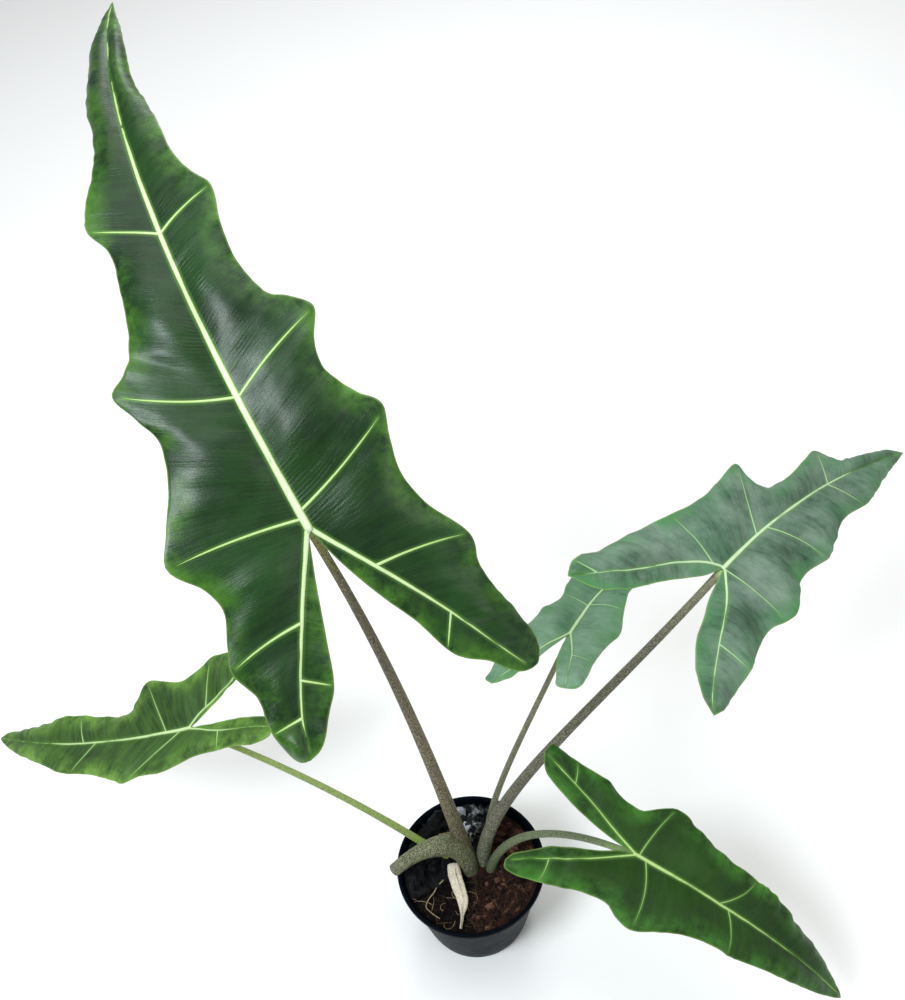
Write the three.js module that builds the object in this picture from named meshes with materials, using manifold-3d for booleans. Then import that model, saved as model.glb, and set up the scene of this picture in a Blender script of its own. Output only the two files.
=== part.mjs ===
// Potted sarian alocasia: a thin black nursery pot, its planting mix, six leaf stalks and five lobed blades.
// Millimetres, +Z up. The origin is the middle of the pot's underside, and the plant's front looks to -Y.
import * as THREE from 'three';
import Module from 'manifold-3d';

const wasm = await Module();
wasm.setup();

// Pot
const POT_HEIGHT = 97;
const POT_BASE_RADIUS = 46.5;
const POT_NECK_RADIUS = 61.8;
const POT_NECK_HEIGHT = 91;
const POT_LIP_RADIUS = 65;
const POT_WALL = 1;
const POT_FLOOR = 1.2;
const POT_SIDES = 40;
const DRAIN_HOLES = 6;
const DRAIN_HOLE_RADIUS = 4;
const DRAIN_RING_RADIUS = 33;

// Planting mix and what lies on it
const GAP = 0.3;
const MIX_TOP = 84;
const HUSK_DEPTH = 2.2;
const CHARCOAL_DEPTH = 5.5;
const PILE_TOP = 125;
const CORM_RADIUS = 15;
const CORM_BOTTOM = 52;
const CORM_TOP = 79.2;
const STALK_FOOT = 80;

// Blades and ribs
const BLADE_THICKNESS = 0.8;
const RIB_GAP = 0.48;
const FRAME_STEP = 4;
const COLUMNS = [0, 0.33, 0.7, 1];
const LOBE_SHOULDER = 0.95;

const rad = THREE.MathUtils.degToRad;
const lerp = THREE.MathUtils.lerp;

// The blades. foot is where the stalk meets the blade, and the angles there are in degrees.
// droop, back and turn are degrees per 100 mm: the midrib's bend ahead of the foot, the bend of the rear lobes
// behind it, and the midrib's swing to the side. fold is the rise of each half, cup its roll towards the margin.
// In each half, margin and sinus hold rungs of [place on the spine, ahead, out]: the margin's point for a place
// on the midrib (above 0) or on the rear lobe's rib (below 0). costa holds that rib as [ahead, out]. veins hold
// the place of each side vein and its bow towards the tip as a share of the vein's length.
const LEAVES = {
  a: {
    length: 482, foot: [-72, 43, 520], heading: 122.6, pitch: 48.5, roll: -12.7,
    droop: -11.8, back: -0.5, turn: -6.4, fold: 7, cup: -10,
    quilt: 5, ruffle: 3.5, spacing: 13, rib: 3.1,
    left: {
      margin: [
        [482, 482, 0], [410, 410, 13], [350, 352, 21], [285, 292, 24], [235, 249, 40], [213, 234, 43],
        [195, 216, 35], [168, 190, 37], [122, 147, 48], [104, 136, 57], [93, 127, 69], [76, 108, 62],
        [58, 89, 56], [34, 62, 64], [16, 36, 80], [6, 19, 89], [-6, -2, 76], [-18, -18, 72],
        [-38, -40, 82], [-50, -53, 88], [-68, -74, 83], [-100, -98, 88], [-112, -115, 87], [-119, -122, 84],
        [-124, -124, 78],
      ],
      costa: [[0, 0], [-48, 33], [-98, 66], [-124, 78]],
      sinus: [
        [0, 0, 0], [-12, -15, 6], [-24, -30, 12], [-40, -48, 19], [-55, -66, 26], [-80, -95, 39],
        [-95, -107, 51], [-110, -118, 62], [-118, -123, 70], [-124, -124, 78],
      ],
      veins: [[213, 0.02], [93, -0.045], [6, 0.03], [-50, 0.04], [-100, 0]],
      innerVeins: [-80],
    },
    right: {
      margin: [
        [482, 482, 0], [410, 414, 11], [350, 356, 14], [290, 300, 24], [255, 267, 27], [232, 246, 34],
        [213, 229, 43], [190, 203, 39], [160, 174, 38], [128, 146, 46], [108, 134, 60], [92, 122, 69],
        [76, 104, 60], [58, 85, 57], [38, 63, 67], [13, 46, 79], [2, 25, 73], [-10, 4, 69],
        [-24, -22, 73], [-44, -60, 89], [-60, -80, 85], [-80, -97, 85], [-105, -121, 89], [-130, -147, 92],
        [-148, -162, 90], [-162, -171, 84], [-172, -172, 77],
      ],
      costa: [[0, 0], [-46, 26], [-99, 51], [-172, 77]],
      sinus: [
        [0, 0, 0], [-14, -19, 4], [-32, -40, 10], [-55, -66, 19], [-78, -92, 29], [-100, -121, 36],
        [-118, -134, 43], [-135, -146, 55], [-150, -159, 62], [-163, -168, 69], [-172, -172, 77],
      ],
      veins: [[213, 0.05], [92, 0.03], [11, -0.03], [-44, 0.04]],
      innerVeins: [-100],
    },
  },
  b: {
    length: 265, foot: [216, 77, 380], heading: 45.5, pitch: -8.8, roll: 16.1,
    droop: -5.4, back: 2.4, turn: -6, fold: 8, cup: -14,
    quilt: 4.2, ruffle: 2.4, spacing: 12, rib: 2,
    left: {
      margin: [
        [265, 265, 0], [240, 242, 8], [205, 209, 11], [180, 187, 13], [163, 177, 20], [151, 166, 30],
        [135, 148, 27], [115, 124, 23], [95, 103, 23], [75, 88, 29], [60, 86, 40], [47, 86, 54],
        [36, 66, 52], [20, 45, 50], [8, 24, 51], [-5, 3, 56], [-14, -15, 61], [-34, -40, 69],
        [-56, -65, 76], [-82, -84, 84], [-99, -99, 79],
      ],
      costa: [[0, 0], [-8, 11], [-22, 23], [-62, 49], [-99, 79]],
      sinus: [
        [0, 0, 0], [-12, -17, 6], [-26, -36, 17], [-44, -54, 28], [-64, -76, 41], [-82, -92, 56],
        [-99, -99, 79],
      ],
      veins: [[151, 0.05], [47, 0.02], [-5, 0.04], [-82, 0]],
      innerVeins: [],
    },
    right: {
      margin: [
        [265, 265, 0], [240, 243, 8], [212, 219, 16], [180, 186, 27], [150, 165, 31], [130, 136, 31],
        [112, 116, 37], [92, 96, 45], [80, 88, 47], [61, 77, 49], [46, 54, 46], [32, 37, 48],
        [18, 21, 56], [6, 5, 61], [-2, -8, 59], [-14, -22, 54], [-30, -40, 55], [-48, -58, 58],
        [-67, -71, 60], [-85, -93, 60], [-105, -113, 60], [-126, -126, 56],
      ],
      costa: [[0, 0], [-20, 14], [-39, 23], [-74, 35], [-113, 49], [-126, 56]],
      sinus: [
        [0, 0, 0], [-12, -15, 3], [-28, -34, 7], [-46, -54, 13], [-66, -74, 18], [-86, -94, 27],
        [-106, -112, 39], [-126, -126, 56],
      ],
      veins: [[150, 0.06], [61, 0.08], [-2, 0.04], [-67, 0.04]],
      innerVeins: [],
    },
  },
  c: {
    length: 175, foot: [103, 90, 300], heading: 61, pitch: -18.1, roll: -3,
    droop: -6, back: 0, turn: -9.7, fold: 6, cup: -15,
    quilt: 2.5, ruffle: 1.8, spacing: 15, rib: 1.8,
    left: {
      margin: [
        [175, 175, 0], [150, 152, 9], [120, 123, 18], [90, 94, 25], [58, 63, 29], [36, 40, 24],
        [18, 21, 30], [2, 4, 34], [-12, -14, 37], [-32, -36, 41], [-55, -59, 44], [-70, -75, 45], [-80, -80, 39],
      ],
      costa: [[0, 0], [-26, 13], [-80, 39]],
      sinus: [[0, 0, 0], [-22, -25, 8], [-44, -52, 18], [-64, -71, 28], [-80, -80, 39]],
      veins: [[40, 0.06], [-36, 0.05]],
      innerVeins: [],
    },
    right: {
      margin: [
        [175, 175, 0], [150, 152, 8], [120, 124, 15], [92, 98, 19], [75, 80, 20], [55, 61, 25],
        [33, 38, 31], [12, 18, 36], [2, 8, 35], [-6, -6, 32], [-22, -28, 30], [-44, -51, 28], [-60, -67, 24],
        [-70, -70, 15],
      ],
      costa: [[0, 0], [-28, 10], [-70, 15]],
      sinus: [[0, 0, 0], [-14, -16, -1], [-34, -38, 1], [-52, -58, 6], [-62, -67, 8], [-70, -70, 15]],
      veins: [[42, 0.1], [-30, 0.08]],
      innerVeins: [],
    },
  },
  d: {
    length: 236, foot: [130, -63, 215], heading: -28.9, pitch: -21.5, roll: 5.4,
    droop: -15.7, back: -1.7, turn: 3.5, fold: 8, cup: -18,
    quilt: 3, ruffle: 2.2, spacing: 12, rib: 1.7,
    left: {
      margin: [
        [236, 236, 0], [214, 218, 7], [190, 194, 15], [160, 166, 22], [128, 135, 29], [105, 116, 33],
        [76, 101, 33], [62, 80, 35], [44, 58, 39], [24, 38, 44], [2, 16, 48], [-4, 3, 41],
        [-10, -9, 33], [-18, -20, 33], [-34, -38, 40], [-50, -53, 42], [-66, -72, 42], [-84, -91, 45],
        [-93, -97, 42], [-99, -99, 35],
      ],
      costa: [[0, 0], [-19, 7], [-54, 21], [-99, 35]],
      sinus: [
        [0, 0, 0], [-12, -14, 1], [-26, -30, 3], [-44, -50, 7], [-62, -68, 12], [-80, -88, 20],
        [-92, -96, 28], [-99, -99, 35],
      ],
      veins: [[76, 0.11], [2, -0.04], [-66, 0.05]],
      innerVeins: [],
    },
    right: {
      margin: [
        [236, 236, 0], [220, 221, 6], [193, 194, 14], [160, 160, 21], [130, 130, 26], [105, 106, 31],
        [85, 93, 33], [72, 76, 33], [50, 54, 37], [30, 35, 45], [8, 15, 54], [-2, 1, 51],
        [-8, -8, 45], [-20, -24, 46], [-38, -42, 51], [-60, -60, 57], [-74, -78, 60], [-82, -86, 60],
        [-88, -88, 55],
      ],
      costa: [[0, 0], [-38, 25], [-61, 38], [-88, 55]],
      sinus: [
        [0, 0, 0], [-10, -12, 3], [-24, -28, 12], [-40, -46, 20], [-56, -63, 29], [-72, -78, 42],
        [-81, -85, 48], [-88, -88, 55],
      ],
      veins: [[85, 0.1], [8, 0.08], [-60, 0.05]],
      innerVeins: [],
    },
  },
  e: {
    length: 241, foot: [-219, 81, 240], heading: 172.8, pitch: -21.2, roll: -8.2,
    droop: -2.3, back: 3.4, turn: -10.7, fold: 8, cup: -14,
    quilt: 3, ruffle: 2.2, spacing: 12, rib: 1.7,
    left: {
      margin: [
        [241, 241, 0], [220, 224, 6], [190, 196, 13], [155, 162, 19], [125, 134, 27], [100, 118, 29],
        [84, 96, 30], [64, 77, 34], [36, 64, 38], [7, 54, 41], [2, 40, 36], [-3, 22, 36],
        [-8, 8, 32], [-15, -8, 27], [-31, -31, 28], [-46, -48, 28], [-62, -66, 31], [-74, -78, 30],
        [-82, -82, 23],
      ],
      costa: [[0, 0], [-31, 10], [-68, 18], [-82, 23]],
      sinus: [
        [0, 0, 0], [-12, -14, 1], [-26, -28, 2], [-42, -46, 4], [-58, -62, 7], [-70, -76, 12],
        [-78, -81, 17], [-82, -82, 23],
      ],
      veins: [[100, 0.02], [7, 0.03], [-31, 0]],
      innerVeins: [],
    },
    right: {
      margin: [
        [241, 241, 0], [225, 228, 7], [195, 199, 14], [160, 168, 22], [140, 150, 26], [116, 130, 26],
        [98, 110, 24], [75, 84, 23], [52, 68, 25], [34, 61, 34], [22, 53, 50], [12, 36, 49],
        [2, 16, 44], [-8, -2, 48], [-18, -22, 58], [-34, -40, 58], [-52, -58, 57], [-72, -76, 58],
        [-84, -88, 58], [-90, -90, 52],
      ],
      costa: [[0, 0], [-18, 14], [-48, 31], [-90, 52]],
      sinus: [
        [0, 0, 0], [-8, -10, 4], [-22, -27, 16], [-40, -45, 27], [-58, -65, 35], [-76, -82, 42],
        [-90, -90, 52],
      ],
      veins: [[116, 0.04], [22, -0.03], [-18, 0.02], [-60, 0.04]],
      innerVeins: [],
    },
  },
};

// The stalks, as the four control points of a curve from the crown to the blade's foot
const STALKS = {
  a: { from: [-1, 10, STALK_FOOT], low: [-21, 32, 235], high: [-40, 42, 383], foot: 8.2, neck: 2.8 },
  b: { from: [11, 6, STALK_FOOT], low: [14, 17, 181], high: [109, 29, 272], foot: 7.2, neck: 3 },
  c: { from: [17, 20, STALK_FOOT], low: [15, 26, 147], high: [54, 46, 217], foot: 3.6, neck: 2.2 },
  d: { from: [16, -3, STALK_FOOT], low: [27, 5, 140], high: [69, -9, 185], foot: 4.8, neck: 2.7 },
  e: { from: [-13, 9, STALK_FOOT], low: [-77, 39, 139], high: [-145, 64, 191], foot: 4, neck: 2.4 },
};
const PRUNED_STALK = [
  [0, -1, STALK_FOOT], [-2, 2, 95], [-7, 7, 107], [-15, 9, 117], [-26, 7, 123], [-38, 4, 124], [-52, 0, 120],
  [-66, -4, 110],
];
const PRUNED_STALK_RADII = [7, 7.8, 8.8, 9.8, 9, 7.2, 6.2, 5.6];
const DRIED_SHEATH = [
  [-15.6, 2, 94.5], [-15, -6, 93.5], [-12.5, -18, 92], [-10, -31, 91], [-11.5, -43, 90], [-14, -54, 89.5],
];
const DRIED_SHEATH_RADII = [4.8, 5.6, 5.5, 4.4, 1.2, 0.8];
const SURFACE_ROOT = [[-25, -10, 91.4], [-33, -17, 90.5], [-42, -31, 89.5], [-31, -43, 89.5]];
const SURFACE_ROOT_RADII = [1, 0.6];
const CATAPHYLL = [[-8, 20, STALK_FOOT], [-9, 24, 94], [-13, 25.5, 105], [-25, 24.5, 109]];
const CATAPHYLL_RADII = [3.6, 3.8, 3, 0.8];

// Solids

function solid(points, faces) {
  const made = new wasm.Manifold(new wasm.Mesh({
    numProp: 3,
    vertProperties: new Float32Array(points.flatMap((p) => [p.x, p.y, p.z])),
    triVerts: new Uint32Array(faces.flat()),
  }));
  return made;
}

function fromGeometry(geometry) {
  const keys = new Map();
  const points = [];
  const place = geometry.getAttribute('position');
  const index = geometry.index.array;
  const shared = [];
  for (let i = 0; i < place.count; i += 1) {
    const p = new THREE.Vector3().fromBufferAttribute(place, i);
    const key = [p.x, p.y, p.z].map((v) => Math.round(v * 1000)).join();
    if (!keys.has(key)) {
      keys.set(key, points.length);
      points.push(p);
    }
    shared.push(keys.get(key));
  }
  const faces = [];
  for (let i = 0; i < index.length; i += 3) {
    const [a, b, c] = [shared[index[i]], shared[index[i + 1]], shared[index[i + 2]]];
    if (a !== b && b !== c && c !== a) faces.push([a, b, c]);
  }
  return solid(points, faces);
}

// A solid of revolution about Z; the profile runs [radius, height] from the axis, outside first.
function turned(profile, sides = POT_SIDES) {
  const lathe = new THREE.LatheGeometry(profile.map(([r, z]) => new THREE.Vector2(r, z)), sides);
  lathe.rotateX(Math.PI / 2);
  return fromGeometry(lathe);
}

function largestPiece(shape) {
  const pieces = shape.decompose();
  return pieces.reduce((most, piece) => (piece.volume() > most.volume() ? piece : most));
}

// A seeded draw between 0 and 1
function draws(seed) {
  let state = seed;
  return () => {
    state = (state * 1664525 + 1013904223) % 4294967296;
    return state / 4294967296;
  };
}

// A round bar along a curve. Its last ring lies in the plane of endNormal where one is given.
function bar(curve, radiusAt, { rings = 12, sides = 10, endNormal = null, flatten = 1 } = {}) {
  const points = [];
  const faces = [];
  let across = new THREE.Vector3(1, 0, 0);
  for (let i = 0; i <= rings; i += 1) {
    const t = i / rings;
    const along = curve.getTangent(t);
    if (i === 0) along.set(0, 0, 1);
    if (endNormal && i === rings) along.copy(endNormal);
    across = across.clone().addScaledVector(along, -across.dot(along)).normalize();
    const other = along.clone().cross(across);
    for (let k = 0; k < sides; k += 1) {
      const angle = (2 * Math.PI * k) / sides;
      points.push(curve.getPoint(t)
        .addScaledVector(across, radiusAt(t) * Math.cos(angle))
        .addScaledVector(other, radiusAt(t) * flatten * Math.sin(angle)));
    }
  }
  for (let i = 0; i < rings; i += 1) {
    for (let k = 0; k < sides; k += 1) {
      const next = (k + 1) % sides;
      const [a, b] = [i * sides + k, i * sides + next];
      faces.push([a, b, b + sides], [a, b + sides, a + sides]);
    }
  }
  for (let k = 1; k < sides - 1; k += 1) {
    faces.push([0, k + 1, k]);
    faces.push([rings * sides, rings * sides + k, rings * sides + k + 1]);
  }
  return solid(points, faces);
}

const vectors = (list) => list.map((p) => new THREE.Vector3(...p));

// A radius that passes through the given ones, which are spread evenly along the curve
function radiusThrough(radii, extra) {
  return (t) => {
    const place = t * (radii.length - 1);
    const i = Math.min(Math.floor(place), radii.length - 2);
    return lerp(radii[i], radii[i + 1], place - i) + extra;
  };
}

// A blade's surface

// A smooth curve through rows that start with a falling place; it returns the rest of the row.
function along(rows, place) {
  let i = 0;
  while (i < rows.length - 2 && place < rows[i + 1][0]) i += 1;
  const slope = (k, n) => {
    const before = rows[Math.max(k - 1, 0)];
    const after = rows[Math.min(k + 1, rows.length - 1)];
    return (after[n] - before[n]) / (after[0] - before[0]);
  };
  const [from, to] = [rows[i], rows[i + 1]];
  const span = to[0] - from[0];
  const x = THREE.MathUtils.clamp((place - from[0]) / span, 0, 1);
  return from.slice(1).map((value, k) => {
    const n = k + 1;
    return value * (2 * x ** 3 - 3 * x ** 2 + 1) + to[n] * (3 * x ** 2 - 2 * x ** 3)
      + slope(i, n) * span * (x ** 3 - 2 * x ** 2 + x) + slope(i + 1, n) * span * (x ** 3 - x ** 2);
  });
}

// Maps a blade's flat coordinates (ahead of the foot, out to the left, lift) to its place in the plant.
function surfaceOf(leaf) {
  const frameAt = (ahead) => {
    const pitch = rad(leaf.pitch + ((ahead >= 0 ? leaf.droop : leaf.back) * ahead) / 100);
    const heading = rad(leaf.heading + (leaf.turn * ahead) / 100);
    const forward = new THREE.Vector3(
      Math.cos(pitch) * Math.cos(heading), Math.cos(pitch) * Math.sin(heading), Math.sin(pitch),
    );
    const level = new THREE.Vector3(-Math.sin(heading), Math.cos(heading), 0);
    const upright = forward.clone().cross(level);
    const roll = rad(leaf.roll);
    const side = level.clone().multiplyScalar(Math.cos(roll)).addScaledVector(upright, Math.sin(roll));
    const up = upright.clone().multiplyScalar(Math.cos(roll)).addScaledVector(level, -Math.sin(roll));
    return { forward, side, up };
  };
  const walk = (direction, reach) => {
    const places = [new THREE.Vector3(...leaf.foot)];
    for (let k = 0; k * FRAME_STEP <= reach; k += 1) {
      const { forward } = frameAt(direction * (k + 0.5) * FRAME_STEP);
      places.push(places[k].clone().addScaledVector(forward, direction * FRAME_STEP));
    }
    return places;
  };
  const ahead = walk(1, leaf.length);
  const behind = walk(-1, 200);
  const fold = rad(leaf.fold);
  const cup = rad(leaf.cup) / 100;
  return (s, w, lift = 0) => {
    const places = s >= 0 ? ahead : behind;
    const k = Math.abs(s) / FRAME_STEP;
    const i = Math.min(Math.floor(k), places.length - 2);
    const { side, up } = frameAt(s);
    const reach = Math.abs(w);
    const across = (Math.sin(fold + cup * reach) - Math.sin(fold)) / cup;
    const rise = (Math.cos(fold) - Math.cos(fold + cup * reach)) / cup;
    return places[i].clone().lerp(places[i + 1], k - i)
      .addScaledVector(side, Math.sign(w) * across)
      .addScaledVector(up, rise + lift);
  };
}

// Falling places from one end to the other: every stop, and even steps between them.
function stations(from, to, stops, step) {
  const between = [...new Set(stops)].filter((s) => s < from && s > to);
  const fixed = [from, ...between.sort((a, b) => b - a), to];
  const places = [from];
  for (let i = 1; i < fixed.length; i += 1) {
    const parts = Math.max(1, Math.round((fixed[i - 1] - fixed[i]) / step));
    for (let k = 1; k <= parts; k += 1) places.push(lerp(fixed[i - 1], fixed[i], k / parts));
  }
  return places;
}

// How far a place on the spine is between two side veins: 0 on a vein, 1 halfway to the next.
function betweenVeins(veins, first, last, place) {
  const ends = [first, ...veins, last];
  let i = 0;
  while (i < ends.length - 2 && place < ends[i + 1]) i += 1;
  return Math.sin((Math.PI * (ends[i] - place)) / (ends[i] - ends[i + 1])) ** 2;
}

const placesOf = (veins) => veins.map(([place]) => place);

// The bow of a rung, drawn evenly between the bows of the side veins on either side of it
function bowOf(veins, place) {
  let i = 0;
  while (i < veins.length - 1 && place < veins[i + 1][0]) i += 1;
  const [from, to] = [veins[i], veins[Math.min(i + 1, veins.length - 1)]];
  const share = from === to ? 0 : THREE.MathUtils.clamp((from[0] - place) / (from[0] - to[0]), 0, 1);
  return lerp(from[1], to[1], share);
}

// The blade as a net of points: a ladder of rungs out from the midrib and from the ribs of the two rear lobes.
function bladeNet(leaf) {
  const surface = surfaceOf(leaf);
  const points = [];
  const known = new Map();
  const faces = [];
  const node = (key, place) => {
    if (!known.has(key)) {
      known.set(key, points.length);
      points.push(place());
    }
    return known.get(key);
  };
  const halves = [['left', 1], ['right', -1]];
  const midStops = [...placesOf(leaf.left.veins), ...placesOf(leaf.right.veins)].filter((v) => v > 0);
  const mid = stations(leaf.length, 0, midStops, leaf.spacing);
  const net = { mid, points, faces, rungs: {}, strips: {}, rear: {} };
  for (const [name, sign] of halves) {
    const half = leaf[name];
    const end = half.costa.at(-1)[0];
    const veins = placesOf(half.veins);
    const rear = stations(0, end, [...veins, ...half.innerVeins, end * LOBE_SHOULDER], leaf.spacing);
    const spine = (s) => (s >= 0 ? [s, 0] : [s, along(half.costa, s)[0]]);
    const ladder = (places, edge, lift, bow, tag) => places.map((s, i) => COLUMNS.map((u, j) => {
      const onSpine = j === 0 || s === leaf.length || s === end || (tag === 'inner' && s === 0);
      const key = onSpine ? (s >= 0 ? `mid${s}` : `${name}${s}`) : `${name}${tag}${i},${j}`;
      return node(key, () => {
        const [from, to] = [spine(s), along(edge, s)];
        const t = onSpine ? 0 : u;
        const bend = 4 * bow(s) * Math.hypot(to[0] - from[0], to[1] - from[1]) * t * (1 - t);
        return surface(lerp(from[0], to[0], t) + bend, sign * lerp(from[1], to[1], t), lift(s, t));
      });
    }));
    const lift = (s, u) => {
      const wave = betweenVeins(veins, leaf.length, end, s);
      return wave * (leaf.quilt * Math.sin(Math.PI * u) - leaf.ruffle * u ** 3);
    };
    const bow = (s) => bowOf(half.veins, s);
    const outer = ladder([...mid, ...rear.slice(1)], half.margin, lift, bow, 'outer');
    const inner = ladder(rear, half.sinus, () => 0, () => 0, 'inner').map((rung) => [rung[0], rung.at(-1)]);
    net.rungs[name] = outer;
    net.strips[name] = inner;
    net.rear[name] = rear;
    const weave = (rungs, upward) => {
      for (let i = 0; i < rungs.length - 1; i += 1) {
        for (let j = 0; j < rungs[i].length - 1; j += 1) {
          const [a, b, c, d] = [rungs[i][j], rungs[i + 1][j], rungs[i + 1][j + 1], rungs[i][j + 1]];
          const halvesOfQuad = upward ? [[a, b, c], [a, c, d]] : [[a, c, b], [a, d, c]];
          faces.push(...halvesOfQuad.filter((f) => new Set(f).size === 3));
        }
      }
    };
    weave(outer, sign < 0);
    weave(inner, sign > 0);
  }
  // Points that only the inner strips' middle columns made are left out.
  const used = new Map();
  for (const face of faces) {
    face.forEach((v) => {
      if (!used.has(v)) used.set(v, used.size);
    });
  }
  const kept = [...used.keys()].map((v) => points[v]);
  const renamed = (list) => list.map((v) => used.get(v));
  net.points = kept;
  net.faces = faces.map(renamed);
  for (const [name] of halves) {
    net.rungs[name] = net.rungs[name].map(renamed);
    net.strips[name] = net.strips[name].map(renamed);
  }
  net.normals = kept.map(() => new THREE.Vector3());
  for (const [a, b, c] of net.faces) {
    const [p, q, r] = [a, b, c].map((v) => kept[v]);
    const normal = q.clone().sub(p).cross(r.clone().sub(p));
    [a, b, c].forEach((v) => net.normals[v].add(normal));
  }
  net.normals.forEach((n) => n.normalize());
  return net;
}

// A slab of even thickness over the net; both faces are split into the same triangles.
function bladeSolid(net) {
  const half = BLADE_THICKNESS / 2;
  const count = net.points.length;
  const above = net.points.map((p, i) => p.clone().addScaledVector(net.normals[i], half));
  const below = net.points.map((p, i) => p.clone().addScaledVector(net.normals[i], -half));
  const faces = net.faces.flatMap(([a, b, c]) => [[a, b, c], [a + count, c + count, b + count]]);
  const edges = new Set(net.faces.flatMap(([a, b, c]) => [`${a},${b}`, `${b},${c}`, `${c},${a}`]));
  for (const edge of edges) {
    const [a, b] = edge.split(',').map(Number);
    if (!edges.has(`${b},${a}`)) {
      faces.push([a, a + count, b + count], [a, b + count, b]);
    }
  }
  return solid([...above, ...below], faces);
}

// A roof-shaped rib over a line of the net. Each stop gives its point and the points on either side of it.
// A keel lets the rib's underside follow a fold of the blade below it.
function ribSolid(net, stops, halfWidths, height, { raised = 0, keel = false } = {}) {
  const base = BLADE_THICKNESS / 2 + RIB_GAP + raised;
  const at = (v, lift) => net.points[v].clone().addScaledVector(net.normals[v], lift);
  const points = [];
  const faces = [];
  stops.forEach(({ centre, next, part = 0, left, right }, i) => {
    const size = lerp(halfWidths[0], halfWidths[1], i / (stops.length - 1));
    const middle = (lift) => at(centre, lift).lerp(at(next ?? centre, lift), part);
    const beside = (v) => {
      const away = at(v, base).sub(at(centre, base));
      return middle(base).addScaledVector(away, Math.min(0.8, size / Math.max(away.length(), 0.01)));
    };
    const top = base + (height * (size + halfWidths[0])) / (2 * halfWidths[0]);
    points.push(beside(left), middle(top), beside(right));
    if (keel) points.push(middle(base));
  });
  const sides = keel ? 4 : 3;
  for (let i = 0; i < stops.length - 1; i += 1) {
    for (let k = 0; k < sides; k += 1) {
      const [a, b] = [sides * i + k, sides * i + ((k + 1) % sides)];
      faces.push([a, b, b + sides], [a, b + sides, a + sides]);
    }
  }
  const last = points.length - sides;
  faces.push([0, 2, 1], [last, last + 1, last + 2]);
  if (keel) faces.push([0, 3, 2], [last, last + 2, last + 3]);
  const made = solid(points, faces);
  return made.volume() > 0 ? made : solid(points, faces.map(([a, b, c]) => [a, c, b]));
}

// The ribs of a blade in one piece: the midrib, the ribs of the rear lobes and the side veins. Where they join,
// their ends are set a little apart along the net, so that no two faces share a plane.
function ribsSolid(leaf, net) {
  const foot = net.mid.length - 1;
  const { left, right } = net.rungs;
  const midrib = net.mid.map((s, i) => ({ centre: left[i][0], left: left[i][1], right: right[i][1] }));
  midrib[0] = { ...midrib[1], next: midrib[0].centre, part: 0.7 };
  midrib[foot] = { ...midrib[foot - 1], next: midrib[foot].centre, part: 0.85 };
  const parts = [ribSolid(net, [...midrib].reverse(), [leaf.rib, leaf.rib * 0.25], leaf.rib * 0.5, { keel: true })];
  const lobes = [
    { name: 'left', size: 0.82, start: 0.5, raised: 0.06 },
    { name: 'right', size: 0.72, start: 0.3, raised: 0.12 },
  ];
  for (const { name, size, start, raised } of lobes) {
    const half = leaf[name];
    const rungs = net.rungs[name];
    const strip = net.strips[name];
    const other = net.rungs[name === 'left' ? 'right' : 'left'];
    const costa = [foot - 1, foot].map((i) => ({ centre: rungs[i][0], left: rungs[i][1], right: other[i][1] }));
    costa[0] = { ...costa[0], next: costa[1].centre, part: start };
    costa[1] = { ...costa[1], next: strip[1][0], part: start / 3 };
    for (let i = 1; i < strip.length - 1; i += 1) {
      costa.push({ centre: strip[i][0], left: rungs[foot + i][1], right: strip[i][1] });
    }
    costa.push({ ...costa.at(-1), next: strip.at(-1)[0], part: 0.7 });
    const widths = [leaf.rib * size, leaf.rib * 0.25];
    parts.push(ribSolid(net, costa, widths, leaf.rib * size * 0.5, { raised, keel: true }));
    const places = [...net.mid, ...net.rear[name].slice(1)];
    const sideVein = (rows, i, width) => {
      const count = rows[i].length;
      const line = rows[i].map((v, j) => ({ centre: v, left: rows[i - 1][j], right: rows[i + 1][j] }));
      line[0] = { ...line[0], next: rows[i + 1][0], part: start / 3 };
      line[count - 1] = { ...line[count - 2], next: rows[i][count - 1], part: 0.85 };
      parts.push(ribSolid(net, line, [width, width * 0.4], width * 0.55, { raised: 0.18 }));
    };
    for (const vein of placesOf(half.veins)) sideVein(rungs, places.indexOf(vein), leaf.rib * 0.5);
    for (const vein of half.innerVeins) sideVein(strip, net.rear[name].indexOf(vein), leaf.rib * 0.4);
  }
  return largestPiece(wasm.Manifold.union(parts).simplify(0.03));
}

// Stalks

function stalkCurve(name) {
  const { from, low, high } = STALKS[name];
  const leaf = LEAVES[name];
  const surface = surfaceOf(leaf);
  const normal = surface(0, 0, 1).sub(surface(0, 0, 0));
  const end = surface(0, 0, -(BLADE_THICKNESS / 2 + 1.1));
  const curve = new THREE.CubicBezierCurve3(...vectors([from, low, high]), end);
  return { curve, normal };
}

function stalkSolid(name, extra = 0) {
  const { foot, neck } = STALKS[name];
  const { curve, normal } = stalkCurve(name);
  const radius = (t) => lerp(foot, neck, t ** 0.5) + extra;
  return bar(curve, radius, { rings: 14, sides: 10, endNormal: normal });
}

function looseBar(points, radii, options = {}) {
  const curve = new THREE.CatmullRomCurve3(vectors(points));
  return (extra = 0) => bar(curve, radiusThrough(radii, extra), options);
}

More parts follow.
